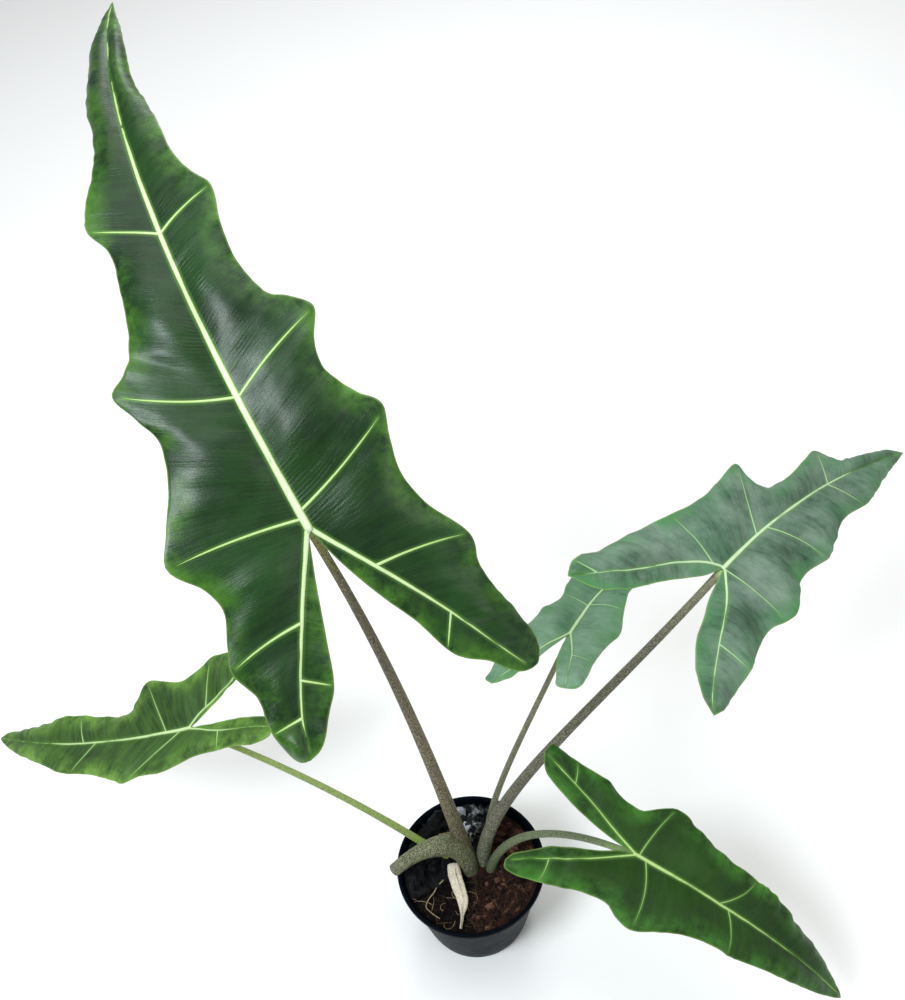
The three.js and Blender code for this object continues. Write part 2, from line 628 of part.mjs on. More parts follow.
// The stalks grow out of each other's feet, so each one is cut clear of those it stands against.
function crown() {
  const clearance = GAP + 0.1;
  const pruned = looseBar(PRUNED_STALK, PRUNED_STALK_RADII, { rings: 14, sides: 12 });
  const scale = looseBar(CATAPHYLL, CATAPHYLL_RADII, { rings: 9, sides: 8, flatten: 0.5 });
  const makers = {
    stalk_a: (extra) => stalkSolid('a', extra),
    stalk_b: (extra) => stalkSolid('b', extra),
    stalk_c: (extra) => stalkSolid('c', extra),
    stalk_e: (extra) => stalkSolid('e', extra),
    pruned_stalk: pruned,
    stalk_d: (extra) => stalkSolid('d', extra),
    cataphyll: scale,
  };
  const bodies = {};
  const spaces = [];
  for (const [name, make] of Object.entries(makers)) {
    const body = spaces.length ? make(0).subtract(wasm.Manifold.union(spaces)) : make(0);
    bodies[name] = largestPiece(body).simplify(0.01);
    spaces.push(make(clearance));
  }
  const room = wasm.Manifold.cylinder(3, 30, 30, 24).translate([0, 4, STALK_FOOT - 2]);
  const deepened = spaces.map((space) => space.add(space.translate([0, 0, -1]).intersect(room)));
  return { bodies, space: wasm.Manifold.union(deepened) };
}

// Pot and planting mix

const wallRadius = (z) => lerp(POT_BASE_RADIUS, POT_NECK_RADIUS, z / POT_NECK_HEIGHT);
const insideRadius = (z) => wallRadius(z) - POT_WALL;

function potSolid() {
  const lip = POT_LIP_RADIUS;
  const pot = turned([
    [0, 0], [POT_BASE_RADIUS, 0], [wallRadius(7), 7], [wallRadius(8) + 0.5, 8], [POT_NECK_RADIUS, POT_NECK_HEIGHT],
    [lip - 0.6, POT_NECK_HEIGHT + 0.4], [lip, POT_NECK_HEIGHT + 1.6], [lip, POT_HEIGHT - 1.4],
    [lip - 0.9, POT_HEIGHT - 0.3], [lip - 2, POT_HEIGHT], [insideRadius(POT_HEIGHT) + 0.8, POT_HEIGHT],
    [insideRadius(POT_HEIGHT - 1), POT_HEIGHT - 1], [insideRadius(POT_FLOOR), POT_FLOOR], [0, POT_FLOOR],
  ]);
  const holes = [];
  for (let k = 0; k < DRAIN_HOLES; k += 1) {
    const angle = (2 * Math.PI * k) / DRAIN_HOLES;
    holes.push(wasm.Manifold.cylinder(6, DRAIN_HOLE_RADIUS, DRAIN_HOLE_RADIUS, 12).translate([
      DRAIN_RING_RADIUS * Math.cos(angle), DRAIN_RING_RADIUS * Math.sin(angle), -2,
    ]));
  }
  return pot.subtract(wasm.Manifold.union(holes));
}

function insideOfPot(top, gap = GAP) {
  const bottom = POT_FLOOR + gap;
  return turned([[0, bottom], [insideRadius(bottom) - gap, bottom], [insideRadius(top) - gap, top], [0, top]]);
}

// A rough lump: the hull of seeded points around a centre, with its own half sizes.
function lump(draw, centre, sizes, corners) {
  const points = [];
  const turn = new THREE.Euler(draw() * 0.7, draw() * 0.7, draw() * 6.3);
  for (let k = 0; k < corners; k += 1) {
    const z = (2 * (k + 0.5)) / corners - 1;
    const angle = k * 2.4 + draw() * 0.8;
    const ring = Math.sqrt(1 - z * z);
    const size = 0.78 + 0.3 * draw();
    const p = new THREE.Vector3(
      ring * Math.cos(angle) * sizes[0] * size, ring * Math.sin(angle) * sizes[1] * size, z * sizes[2] * size,
    ).applyEuler(turn);
    points.push([p.x + centre[0], p.y + centre[1], p.z + centre[2]]);
  }
  return wasm.Manifold.hull(points);
}

// Lumps at seeded places of a ring sector, clear of its two borders
function scatter({ seed, count, from, to, near, far, size, shape, corners, height }) {
  const draw = draws(seed);
  const lumps = [];
  for (let k = 0; k < count; k += 1) {
    const reach = Math.sqrt(lerp(near ** 2, far ** 2, draw()));
    const big = lerp(size[0], size[1], draw());
    const margin = (Math.asin(Math.min(0.9, (big * 1.1) / reach)) * 180) / Math.PI;
    const angle = rad(lerp(from + margin, to - margin, (k + draw()) / count));
    const centre = [reach * Math.cos(angle), reach * Math.sin(angle), height];
    lumps.push(lump(draw, centre, shape.map((v) => v * big), corners));
  }
  return wasm.Manifold.union(lumps);
}

function sector(from, to, bottom, top) {
  const outline = [[0, 0]];
  for (let k = 0; k <= 16; k += 1) {
    const angle = rad(lerp(from, to, k / 16));
    outline.push([80 * Math.cos(angle), 80 * Math.sin(angle)]);
  }
  return new wasm.CrossSection([outline]).extrude(top - bottom).translate([0, 0, bottom]);
}

const CHARCOAL_SECTOR = [62, 205];
const HUSK_SECTOR = [-95, 61];

function bed([from, to], depth, lumps, space) {
  const slab = sector(from, to, MIX_TOP + GAP, MIX_TOP + depth);
  const above = sector(from, to, MIX_TOP + GAP, PILE_TOP);
  const shape = slab.add(lumps.intersect(above)).intersect(insideOfPot(PILE_TOP, GAP + 0.1));
  return largestPiece(shape.subtract(space)).simplify(0.01);
}

function plantingMix(space) {
  const cormRoom = wasm.Manifold.cylinder(
    STALK_FOOT + 0.5 - CORM_BOTTOM + 1, CORM_RADIUS + 1, CORM_RADIUS + 1, 20,
  ).translate([2, 6, CORM_BOTTOM - 1]);
  const lumps = scatter({
    seed: 11, count: 26, from: CHARCOAL_SECTOR[0], to: CHARCOAL_SECTOR[1], near: 30, far: 53,
    size: [5.5, 9], shape: [1, 0.8, 0.65], corners: 9, height: MIX_TOP + 8.5,
  });
  const pile = scatter({
    seed: 31, count: 4, from: 104, to: 144, near: 43, far: 49,
    size: [8, 9.5], shape: [1, 0.75, 1.1], corners: 9, height: MIX_TOP + 17,
  });
  const top = scatter({
    seed: 43, count: 3, from: 108, to: 136, near: 47, far: 52,
    size: [7, 8.5], shape: [1, 0.8, 1.2], corners: 8, height: MIX_TOP + 26,
  });
  const husk = scatter({
    seed: 5, count: 30, from: HUSK_SECTOR[0], to: HUSK_SECTOR[1], near: 18, far: 56,
    size: [3.5, 7.5], shape: [1, 0.55, 0.45], corners: 7, height: MIX_TOP + 2.8,
  });
  const chunks = scatter({
    seed: 37, count: 12, from: 2, to: HUSK_SECTOR[1], near: 34, far: 53,
    size: [6.5, 9], shape: [1, 0.65, 0.6], corners: 8, height: MIX_TOP + 6.5,
  });
  const crumbs = scatter({
    seed: 23, count: 14, from: 206, to: 264, near: 16, far: 57,
    size: [2.5, 4.5], shape: [1, 0.8, 0.6], corners: 8, height: MIX_TOP + 0.6,
  });
  const body = insideOfPot(MIX_TOP)
    .add(crumbs.intersect(insideOfPot(POT_HEIGHT, GAP + 0.1)))
    .subtract(space)
    .subtract(cormRoom);
  return {
    growing_mix: largestPiece(body).simplify(0.01),
    charcoal: bed(CHARCOAL_SECTOR, CHARCOAL_DEPTH, wasm.Manifold.union([lumps, pile, top]), space),
    husk: bed(HUSK_SECTOR, HUSK_DEPTH, husk.add(chunks), space),
  };
}

function cormSolid() {
  const middle = lerp(CORM_BOTTOM, CORM_TOP, 0.5);
  return turned([
    [0, CORM_BOTTOM], [CORM_RADIUS * 0.6, CORM_BOTTOM + 3], [CORM_RADIUS, middle],
    [CORM_RADIUS * 0.85, CORM_TOP - 4], [CORM_RADIUS * 0.7, CORM_TOP], [0, CORM_TOP],
  ], 16).translate([2, 6, 0]);
}

// Assembly

const part = new THREE.Group();

function add(name, shape, color, roughness) {
  const mesh = shape.getMesh();
  const geometry = new THREE.BufferGeometry();
  geometry.setAttribute('position', new THREE.BufferAttribute(mesh.vertProperties, 3));
  geometry.setIndex(new THREE.BufferAttribute(mesh.triVerts, 1));
  const flat = geometry.toNonIndexed();
  flat.computeVertexNormals();
  const material = new THREE.MeshStandardMaterial({ color, roughness, metalness: 0 });
  const made = new THREE.Mesh(flat, material);
  made.name = name;
  part.add(made);
}

const { bodies, space } = crown();
const sheath = looseBar(DRIED_SHEATH, DRIED_SHEATH_RADII, { rings: 15, sides: 8, flatten: 0.4 });
const root = looseBar(SURFACE_ROOT, SURFACE_ROOT_RADII, { rings: 10, sides: 6 });
const cleared = wasm.Manifold.union([space, sheath(GAP + 0.1), root(GAP + 0.1)]);
const mix = plantingMix(cleared);

const STALK_COLORS = {
  stalk_a: '#6d6748', stalk_b: '#67675a', stalk_c: '#7b8068', stalk_d: '#74825c', stalk_e: '#8a9c5a',
  pruned_stalk: '#7c8450', cataphyll: '#6b6a40',
};
const BLADE_COLORS = { a: '#1c421f', b: '#335f43', c: '#4f7f63', d: '#27501d', e: '#33581f' };
const RIB_COLORS = { a: '#c3d99a', b: '#a9c493', c: '#b4cf9d', d: '#98ba6c', e: '#a5bf80' };

add('pot', potSolid(), '#1b212b', 0.4);
add('growing_mix', mix.growing_mix, '#2c231d', 0.95);
add('charcoal', mix.charcoal, '#3c3d40', 0.9);
add('husk', mix.husk, '#5a3626', 0.95);
add('corm', cormSolid(), '#6d4c35', 0.85);
for (const [name, body] of Object.entries(bodies)) add(name, body, STALK_COLORS[name], 0.55);
add('dried_sheath', sheath(), '#cdc2a4', 0.8);
add('surface_root', root(), '#9c8263', 0.8);
for (const [name, leaf] of Object.entries(LEAVES)) {
  const net = bladeNet(leaf);
  add(`blade_${name}`, bladeSolid(net), BLADE_COLORS[name], 0.35);
  add(`ribs_${name}`, ribsSolid(leaf, net), RIB_COLORS[name], 0.45);
}

export default part;
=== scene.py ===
import math

import bmesh
import bpy
import numpy as np
from mathutils import Matrix, Vector, noise
from mathutils.bvhtree import BVHTree


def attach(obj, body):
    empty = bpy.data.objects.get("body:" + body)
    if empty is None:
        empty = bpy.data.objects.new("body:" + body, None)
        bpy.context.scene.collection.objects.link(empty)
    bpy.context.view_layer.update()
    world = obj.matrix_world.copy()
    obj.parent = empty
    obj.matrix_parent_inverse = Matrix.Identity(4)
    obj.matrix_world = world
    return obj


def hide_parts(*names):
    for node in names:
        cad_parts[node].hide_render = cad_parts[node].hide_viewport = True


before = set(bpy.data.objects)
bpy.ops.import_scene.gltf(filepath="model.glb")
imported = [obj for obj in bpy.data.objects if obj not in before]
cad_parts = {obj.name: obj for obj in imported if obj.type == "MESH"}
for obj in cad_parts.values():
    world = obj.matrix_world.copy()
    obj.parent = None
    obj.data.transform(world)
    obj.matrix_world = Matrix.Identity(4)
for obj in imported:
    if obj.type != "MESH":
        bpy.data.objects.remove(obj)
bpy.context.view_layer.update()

# Pot
POT_HEIGHT = 0.097
POT_BASE_RADIUS = 0.0465
POT_NECK_RADIUS = 0.0618
POT_NECK_HEIGHT = 0.091
POT_LIP_RADIUS = 0.065
POT_WALL = 0.001
POT_FLOOR = 0.0012
POT_SIDES = 144
DRAIN_HOLES = 6
DRAIN_HOLE_RADIUS = 0.004
DRAIN_RING_RADIUS = 0.033

# Planting mix and what lies on it
MIX_TOP = 0.084
BED_TOP = 0.0862
CHARCOAL_TOP = 0.0895
STALK_FOOT = 0.08
CHARCOAL_SECTOR = (62, 205)
HUSK_SECTOR = (-95, 61)
PALE_SECTOR = (66, 118)
SOIL_SECTOR = (206, 264)

# The lumps of the mix, scattered by the same rule and draws as in the part's source. size is the range of
# their half length, and shape scales it along x, y and z.
LUMPS = {
    "charcoal": {
        "seed": 11, "count": 26, "sector": CHARCOAL_SECTOR, "near": 0.03, "far": 0.053,
        "size": (0.0055, 0.009), "shape": (1, 0.8, 0.65), "corners": 9, "height": MIX_TOP + 0.0085,
    },
    "pile": {
        "seed": 31, "count": 4, "sector": (104, 144), "near": 0.043, "far": 0.049,
        "size": (0.008, 0.0095), "shape": (1, 0.75, 1.1), "corners": 9, "height": MIX_TOP + 0.017,
    },
    "pile_top": {
        "seed": 43, "count": 3, "sector": (108, 136), "near": 0.047, "far": 0.052,
        "size": (0.007, 0.0085), "shape": (1, 0.8, 1.2), "corners": 8, "height": MIX_TOP + 0.026,
    },
    "husk": {
        "seed": 5, "count": 30, "sector": HUSK_SECTOR, "near": 0.018, "far": 0.056,
        "size": (0.0035, 0.0075), "shape": (1, 0.55, 0.45), "corners": 7, "height": MIX_TOP + 0.0028,
    },
    "chunks": {
        "seed": 37, "count": 12, "sector": (2, HUSK_SECTOR[1]), "near": 0.034, "far": 0.053,
        "size": (0.0065, 0.009), "shape": (1, 0.65, 0.6), "corners": 8, "height": MIX_TOP + 0.0065,
    },
    "crumbs": {
        "seed": 23, "count": 14, "sector": SOIL_SECTOR, "near": 0.016, "far": 0.057,
        "size": (0.0025, 0.0045), "shape": (1, 0.8, 0.6), "corners": 8, "height": MIX_TOP + 0.0006,
    },
}

# Blades and ribs
BLADE_THICKNESS = 0.0008
MARGIN_THICKNESS = 0.0004
FRAME_STEP = 0.004
REAR_REACH = 0.2
RUNG_SPACING = 0.0023
COLUMNS = 22
INNER_COLUMNS = 9
PLEAT_HEIGHT = 0.0032
PLEAT_LOSS = 0.42
RIPPLE_WAVE = 0.0027
MIDRIB_START = -0.003
MIDRIB_SHARE = 0.985
LOBE_RIB_SHARE = 0.96
VEIN_SHARES = (0.005, 0.93)
RIB_SIDES = 12
RIB_HEIGHT = 0.62
RIB_SINK = 0.0003

# The other ribs' widths as shares of the midrib's, and how green they are, from 0 for the midrib to 1
THIN_END = 0.2
LOBE_RIBS = (("left", 1, 0.68), ("right", -1, 0.62))
LOBE_RIB_END = 0.14
LOBE_RIB_GREEN = 0.4
VEIN_WIDTHS = {"margin": 0.36, "sinus": 0.28}
VEIN_END = 0.15

# The blades. foot is where the stalk meets the blade, and the angles there are in degrees.
# droop, back and turn are degrees per 0.1 m: the midrib's bend ahead of the foot, the bend of the rear lobes
# behind it, and the midrib's swing to the side. fold is the rise of each half, cup its roll to the margin.
# In each half, end is where the rear lobe's rib ends, as (ahead, out), and costa has that rib's other points.
# margin and sinus hold rungs of (place on the spine, ahead, out): the edge's point for a place on the midrib
# (above 0) or on the rear lobe's rib (below 0). The leaf's tip, foot and lobe ends are filled in by closed().
# veins hold each side vein's place and its bow towards the tip, as a share of the vein's length.
# The values are worked out from points read off the photo, through the camera below, with chosen lengths.
LEAVES = {
    "a": {
        "length": 0.482, "foot": (-0.072, 0.043, 0.52), "heading": 122.6, "pitch": 48.5, "roll": -12.7,
        "droop": -11.8, "back": -0.5, "turn": -6.4, "fold": 7, "cup": -10, "quilt": 0.005, "ruffle": 0.0035,
        "rib": 0.0031,
        "left": {
            "end": (-0.124, 0.078), "costa": [(-0.048, 0.033), (-0.098, 0.066)],
            "veins": [(0.213, 0.02), (0.093, -0.045), (0.006, 0.03), (-0.05, 0.04), (-0.1, 0)],
            "inner_veins": [-0.08],
            "margin": [
                (0.41, 0.41, 0.013), (0.35, 0.352, 0.021), (0.285, 0.292, 0.024), (0.235, 0.249, 0.04),
                (0.213, 0.234, 0.043), (0.195, 0.216, 0.035), (0.168, 0.19, 0.037), (0.122, 0.147, 0.048),
                (0.104, 0.136, 0.057), (0.093, 0.127, 0.069), (0.076, 0.108, 0.062), (0.058, 0.089, 0.056),
                (0.034, 0.062, 0.064), (0.016, 0.036, 0.08), (0.006, 0.019, 0.089), (-0.006, -0.002, 0.076),
                (-0.018, -0.018, 0.072), (-0.038, -0.04, 0.082), (-0.05, -0.053, 0.088),
                (-0.068, -0.074, 0.083), (-0.1, -0.098, 0.088), (-0.112, -0.115, 0.087),
                (-0.119, -0.122, 0.084),
            ],
            "sinus": [
                (-0.012, -0.015, 0.006), (-0.024, -0.03, 0.012), (-0.04, -0.048, 0.019),
                (-0.055, -0.066, 0.026), (-0.08, -0.095, 0.039), (-0.095, -0.107, 0.051),
                (-0.11, -0.118, 0.062), (-0.118, -0.123, 0.07),
            ],
        },
        "right": {
            "end": (-0.172, 0.077), "costa": [(-0.046, 0.026), (-0.099, 0.051)],
            "veins": [(0.213, 0.05), (0.092, 0.03), (0.011, -0.03), (-0.044, 0.04)], "inner_veins": [-0.1],
            "margin": [
                (0.41, 0.414, 0.011), (0.35, 0.356, 0.014), (0.29, 0.3, 0.024), (0.255, 0.267, 0.027),
                (0.232, 0.246, 0.034), (0.213, 0.229, 0.043), (0.19, 0.203, 0.039), (0.16, 0.174, 0.038),
                (0.128, 0.146, 0.046), (0.108, 0.134, 0.06), (0.092, 0.122, 0.069), (0.076, 0.104, 0.06),
                (0.058, 0.085, 0.057), (0.038, 0.063, 0.067), (0.013, 0.046, 0.079), (0.002, 0.025, 0.073),
                (-0.01, 0.004, 0.069), (-0.024, -0.022, 0.073), (-0.044, -0.06, 0.089), (-0.06, -0.08, 0.085),
                (-0.08, -0.097, 0.085), (-0.105, -0.121, 0.089), (-0.13, -0.147, 0.092),
                (-0.148, -0.162, 0.09), (-0.162, -0.171, 0.084),
            ],
            "sinus": [
                (-0.014, -0.019, 0.004), (-0.032, -0.04, 0.01), (-0.055, -0.066, 0.019),
                (-0.078, -0.092, 0.029), (-0.1, -0.121, 0.036), (-0.118, -0.134, 0.043),
                (-0.135, -0.146, 0.055), (-0.15, -0.159, 0.062), (-0.163, -0.168, 0.069),
            ],
        },
    },
    "b": {
        "length": 0.265, "foot": (0.216, 0.077, 0.38), "heading": 45.5, "pitch": -8.8, "roll": 16.1,
        "droop": -5.4, "back": 2.4, "turn": -6, "fold": 8, "cup": -14, "quilt": 0.0042, "ruffle": 0.0024,
        "rib": 0.002,
        "left": {
            "end": (-0.099, 0.079), "costa": [(-0.008, 0.011), (-0.022, 0.023), (-0.062, 0.049)],
            "veins": [(0.151, 0.05), (0.047, 0.02), (-0.005, 0.04), (-0.082, 0)], "inner_veins": [],
            "margin": [
                (0.24, 0.242, 0.008), (0.205, 0.209, 0.011), (0.18, 0.187, 0.013), (0.163, 0.177, 0.02),
                (0.151, 0.166, 0.03), (0.135, 0.148, 0.027), (0.115, 0.124, 0.023), (0.095, 0.103, 0.023),
                (0.075, 0.088, 0.029), (0.06, 0.086, 0.04), (0.047, 0.086, 0.054), (0.036, 0.066, 0.052),
                (0.02, 0.045, 0.05), (0.008, 0.024, 0.051), (-0.005, 0.003, 0.056), (-0.014, -0.015, 0.061),
                (-0.034, -0.04, 0.069), (-0.056, -0.065, 0.076), (-0.082, -0.084, 0.084),
            ],
            "sinus": [
                (-0.012, -0.017, 0.006), (-0.026, -0.036, 0.017), (-0.044, -0.054, 0.028),
                (-0.064, -0.076, 0.041), (-0.082, -0.092, 0.056),
            ],
        },
        "right": {
            "end": (-0.126, 0.056),
            "costa": [(-0.02, 0.014), (-0.039, 0.023), (-0.074, 0.035), (-0.113, 0.049)],
            "veins": [(0.15, 0.06), (0.061, 0.08), (-0.002, 0.04), (-0.067, 0.04)], "inner_veins": [],
            "margin": [
                (0.24, 0.243, 0.008), (0.212, 0.219, 0.016), (0.18, 0.186, 0.027), (0.15, 0.165, 0.031),
                (0.13, 0.136, 0.031), (0.112, 0.116, 0.037), (0.092, 0.096, 0.045), (0.08, 0.088, 0.047),
                (0.061, 0.077, 0.049), (0.046, 0.054, 0.046), (0.032, 0.037, 0.048), (0.018, 0.021, 0.056),
                (0.006, 0.005, 0.061), (-0.002, -0.008, 0.059), (-0.014, -0.022, 0.054),
                (-0.03, -0.04, 0.055), (-0.048, -0.058, 0.058), (-0.067, -0.071, 0.06),
                (-0.085, -0.093, 0.06), (-0.105, -0.113, 0.06),
            ],
            "sinus": [
                (-0.012, -0.015, 0.003), (-0.028, -0.034, 0.007), (-0.046, -0.054, 0.013),
                (-0.066, -0.074, 0.018), (-0.086, -0.094, 0.027), (-0.106, -0.112, 0.039),
            ],
        },
    },
    "c": {
        "length": 0.175, "foot": (0.103, 0.09, 0.3), "heading": 61, "pitch": -18.1, "roll": -3, "droop": -6,
        "back": 0, "turn": -9.7, "fold": 6, "cup": -15, "quilt": 0.0025, "ruffle": 0.0018, "rib": 0.0018,
        "left": {
            "end": (-0.08, 0.039), "costa": [(-0.026, 0.013)], "veins": [(0.04, 0.06), (-0.036, 0.05)],
            "inner_veins": [],
            "margin": [
                (0.15, 0.152, 0.009), (0.12, 0.123, 0.018), (0.09, 0.094, 0.025), (0.058, 0.063, 0.029),
                (0.036, 0.04, 0.024), (0.018, 0.021, 0.03), (0.002, 0.004, 0.034), (-0.012, -0.014, 0.037),
                (-0.032, -0.036, 0.041), (-0.055, -0.059, 0.044), (-0.07, -0.075, 0.045),
            ],
            "sinus": [
                (-0.022, -0.025, 0.008), (-0.044, -0.052, 0.018), (-0.064, -0.071, 0.028),
            ],
        },
        "right": {
            "end": (-0.07, 0.015), "costa": [(-0.028, 0.01)], "veins": [(0.042, 0.1), (-0.03, 0.08)],
            "inner_veins": [],
            "margin": [
                (0.15, 0.152, 0.008), (0.12, 0.124, 0.015), (0.092, 0.098, 0.019), (0.075, 0.08, 0.02),
                (0.055, 0.061, 0.025), (0.033, 0.038, 0.031), (0.012, 0.018, 0.036), (0.002, 0.008, 0.035),
                (-0.006, -0.006, 0.032), (-0.022, -0.028, 0.03), (-0.044, -0.051, 0.028),
                (-0.06, -0.067, 0.024),
            ],
            "sinus": [
                (-0.014, -0.016, -0.001), (-0.034, -0.038, 0.001), (-0.052, -0.058, 0.006),
                (-0.062, -0.067, 0.008),
            ],
        },
    },
    "d": {
        "length": 0.236, "foot": (0.13, -0.063, 0.215), "heading": -28.9, "pitch": -21.5, "roll": 5.4,
        "droop": -15.7, "back": -1.7, "turn": 3.5, "fold": 8, "cup": -18, "quilt": 0.003, "ruffle": 0.0022,
        "rib": 0.0017,
        "left": {
            "end": (-0.099, 0.035), "costa": [(-0.019, 0.007), (-0.054, 0.021)],
            "veins": [(0.076, 0.11), (0.002, -0.04), (-0.066, 0.05)], "inner_veins": [],
            "margin": [
                (0.214, 0.218, 0.007), (0.19, 0.194, 0.015), (0.16, 0.166, 0.022), (0.128, 0.135, 0.029),
                (0.105, 0.116, 0.033), (0.076, 0.101, 0.033), (0.062, 0.08, 0.035), (0.044, 0.058, 0.039),
                (0.024, 0.038, 0.044), (0.002, 0.016, 0.048), (-0.004, 0.003, 0.041), (-0.01, -0.009, 0.033),
                (-0.018, -0.02, 0.033), (-0.034, -0.038, 0.04), (-0.05, -0.053, 0.042),
                (-0.066, -0.072, 0.042), (-0.084, -0.091, 0.045), (-0.093, -0.097, 0.042),
            ],
            "sinus": [
                (-0.012, -0.014, 0.001), (-0.026, -0.03, 0.003), (-0.044, -0.05, 0.007),
                (-0.062, -0.068, 0.012), (-0.08, -0.088, 0.02), (-0.092, -0.096, 0.028),
            ],
        },
        "right": {
            "end": (-0.088, 0.055), "costa": [(-0.038, 0.025), (-0.061, 0.038)],
            "veins": [(0.085, 0.1), (0.008, 0.08), (-0.06, 0.05)], "inner_veins": [],
            "margin": [
                (0.22, 0.221, 0.006), (0.193, 0.194, 0.014), (0.16, 0.16, 0.021), (0.13, 0.13, 0.026),
                (0.105, 0.106, 0.031), (0.085, 0.093, 0.033), (0.072, 0.076, 0.033), (0.05, 0.054, 0.037),
                (0.03, 0.035, 0.045), (0.008, 0.015, 0.054), (-0.002, 0.001, 0.051), (-0.008, -0.008, 0.045),
                (-0.02, -0.024, 0.046), (-0.038, -0.042, 0.051), (-0.06, -0.06, 0.057),
                (-0.074, -0.078, 0.06), (-0.082, -0.086, 0.06),
            ],
            "sinus": [
                (-0.01, -0.012, 0.003), (-0.024, -0.028, 0.012), (-0.04, -0.046, 0.02),
                (-0.056, -0.063, 0.029), (-0.072, -0.078, 0.042), (-0.081, -0.085, 0.048),
            ],
        },
    },
    "e": {
        "length": 0.241, "foot": (-0.219, 0.081, 0.24), "heading": 172.8, "pitch": -21.2, "roll": -8.2,
        "droop": -2.3, "back": 3.4, "turn": -10.7, "fold": 8, "cup": -14, "quilt": 0.003, "ruffle": 0.0022,
        "rib": 0.0017,
        "left": {
            "end": (-0.082, 0.023), "costa": [(-0.031, 0.01), (-0.068, 0.018)],
            "veins": [(0.1, 0.02), (0.007, 0.03), (-0.031, 0)], "inner_veins": [],
            "margin": [
                (0.22, 0.224, 0.006), (0.19, 0.196, 0.013), (0.155, 0.162, 0.019), (0.125, 0.134, 0.027),
                (0.1, 0.118, 0.029), (0.084, 0.096, 0.03), (0.064, 0.077, 0.034), (0.036, 0.064, 0.038),
                (0.007, 0.054, 0.041), (0.002, 0.04, 0.036), (-0.003, 0.022, 0.036), (-0.008, 0.008, 0.032),
                (-0.015, -0.008, 0.027), (-0.031, -0.031, 0.028), (-0.046, -0.048, 0.028),
                (-0.062, -0.066, 0.031), (-0.074, -0.078, 0.03),
            ],
            "sinus": [
                (-0.012, -0.014, 0.001), (-0.026, -0.028, 0.002), (-0.042, -0.046, 0.004),
                (-0.058, -0.062, 0.007), (-0.07, -0.076, 0.012), (-0.078, -0.081, 0.017),
            ],
        },
        "right": {
            "end": (-0.09, 0.052), "costa": [(-0.018, 0.014), (-0.048, 0.031)],
            "veins": [(0.116, 0.04), (0.022, -0.03), (-0.018, 0.02), (-0.06, 0.04)], "inner_veins": [],
            "margin": [
                (0.225, 0.228, 0.007), (0.195, 0.199, 0.014), (0.16, 0.168, 0.022), (0.14, 0.15, 0.026),
                (0.116, 0.13, 0.026), (0.098, 0.11, 0.024), (0.075, 0.084, 0.023), (0.052, 0.068, 0.025),
                (0.034, 0.061, 0.034), (0.022, 0.053, 0.05), (0.012, 0.036, 0.049), (0.002, 0.016, 0.044),
                (-0.008, -0.002, 0.048), (-0.018, -0.022, 0.058), (-0.034, -0.04, 0.058),
                (-0.052, -0.058, 0.057), (-0.072, -0.076, 0.058), (-0.084, -0.088, 0.058),
            ],
            "sinus": [
                (-0.008, -0.01, 0.004), (-0.022, -0.027, 0.016), (-0.04, -0.045, 0.027),
                (-0.058, -0.065, 0.035), (-0.076, -0.082, 0.042),
            ],
        },
    },
}

# The stalks, as the first three control points of a curve from the crown to the blade's foot
STALKS = {
    "a": {"path": [(-0.001, 0.01, STALK_FOOT), (-0.021, 0.032, 0.235), (-0.04, 0.042, 0.383)],
          "foot": 0.0082, "neck": 0.0028},
    "b": {"path": [(0.011, 0.006, STALK_FOOT), (0.014, 0.017, 0.181), (0.109, 0.029, 0.272)],
          "foot": 0.0072, "neck": 0.003},
    "c": {"path": [(0.017, 0.02, STALK_FOOT), (0.015, 0.026, 0.147), (0.054, 0.046, 0.217)],
          "foot": 0.0036, "neck": 0.0022},
    "d": {"path": [(0.016, -0.003, STALK_FOOT), (0.027, 0.005, 0.14), (0.069, -0.009, 0.185)],
          "foot": 0.0048, "neck": 0.0027},
    "e": {"path": [(-0.013, 0.009, STALK_FOOT), (-0.077, 0.039, 0.139), (-0.145, 0.064, 0.191)],
          "foot": 0.004, "neck": 0.0024},
}
PRUNED_STALK = [
    (0.0, -0.001, STALK_FOOT), (-0.002, 0.002, 0.095), (-0.007, 0.007, 0.107), (-0.015, 0.009, 0.117),
    (-0.026, 0.007, 0.123), (-0.038, 0.004, 0.124), (-0.052, 0.0, 0.12), (-0.066, -0.004, 0.11),
]
PRUNED_STALK_RADII = (0.007, 0.0078, 0.0088, 0.0098, 0.009, 0.0072, 0.0062, 0.0056)
CUT_HOLLOW = 0.0012
DRIED_SHEATH = [
    (-0.0156, 0.002, 0.0945), (-0.015, -0.006, 0.0935), (-0.0125, -0.018, 0.092), (-0.01, -0.031, 0.091),
    (-0.0115, -0.043, 0.09), (-0.014, -0.054, 0.0895),
]
DRIED_SHEATH_RADII = (0.0048, 0.0056, 0.0055, 0.0044, 0.0012, 0.0008)
SURFACE_ROOT = [
    (-0.025, -0.01, 0.0914), (-0.033, -0.017, 0.0905), (-0.042, -0.031, 0.0895), (-0.031, -0.043, 0.0895),
]
SURFACE_ROOT_RADII = (0.0006, 0.0003)
CATAPHYLL = [
    (-0.008, 0.02, STALK_FOOT), (-0.009, 0.024, 0.094), (-0.013, 0.0255, 0.105), (-0.025, 0.0245, 0.109),
]
CATAPHYLL_RADII = (0.0036, 0.0038, 0.003, 0.0008)

# Camera: solved from the pot's rim and base in the photo, for a chosen lens
CAMERA_PLACE = (0.0215, -0.457, 1.0965)
CAMERA_PITCH = 48.6
CAMERA_ROLL = -6.7
CAMERA_LENS = 43.2


# Meshes

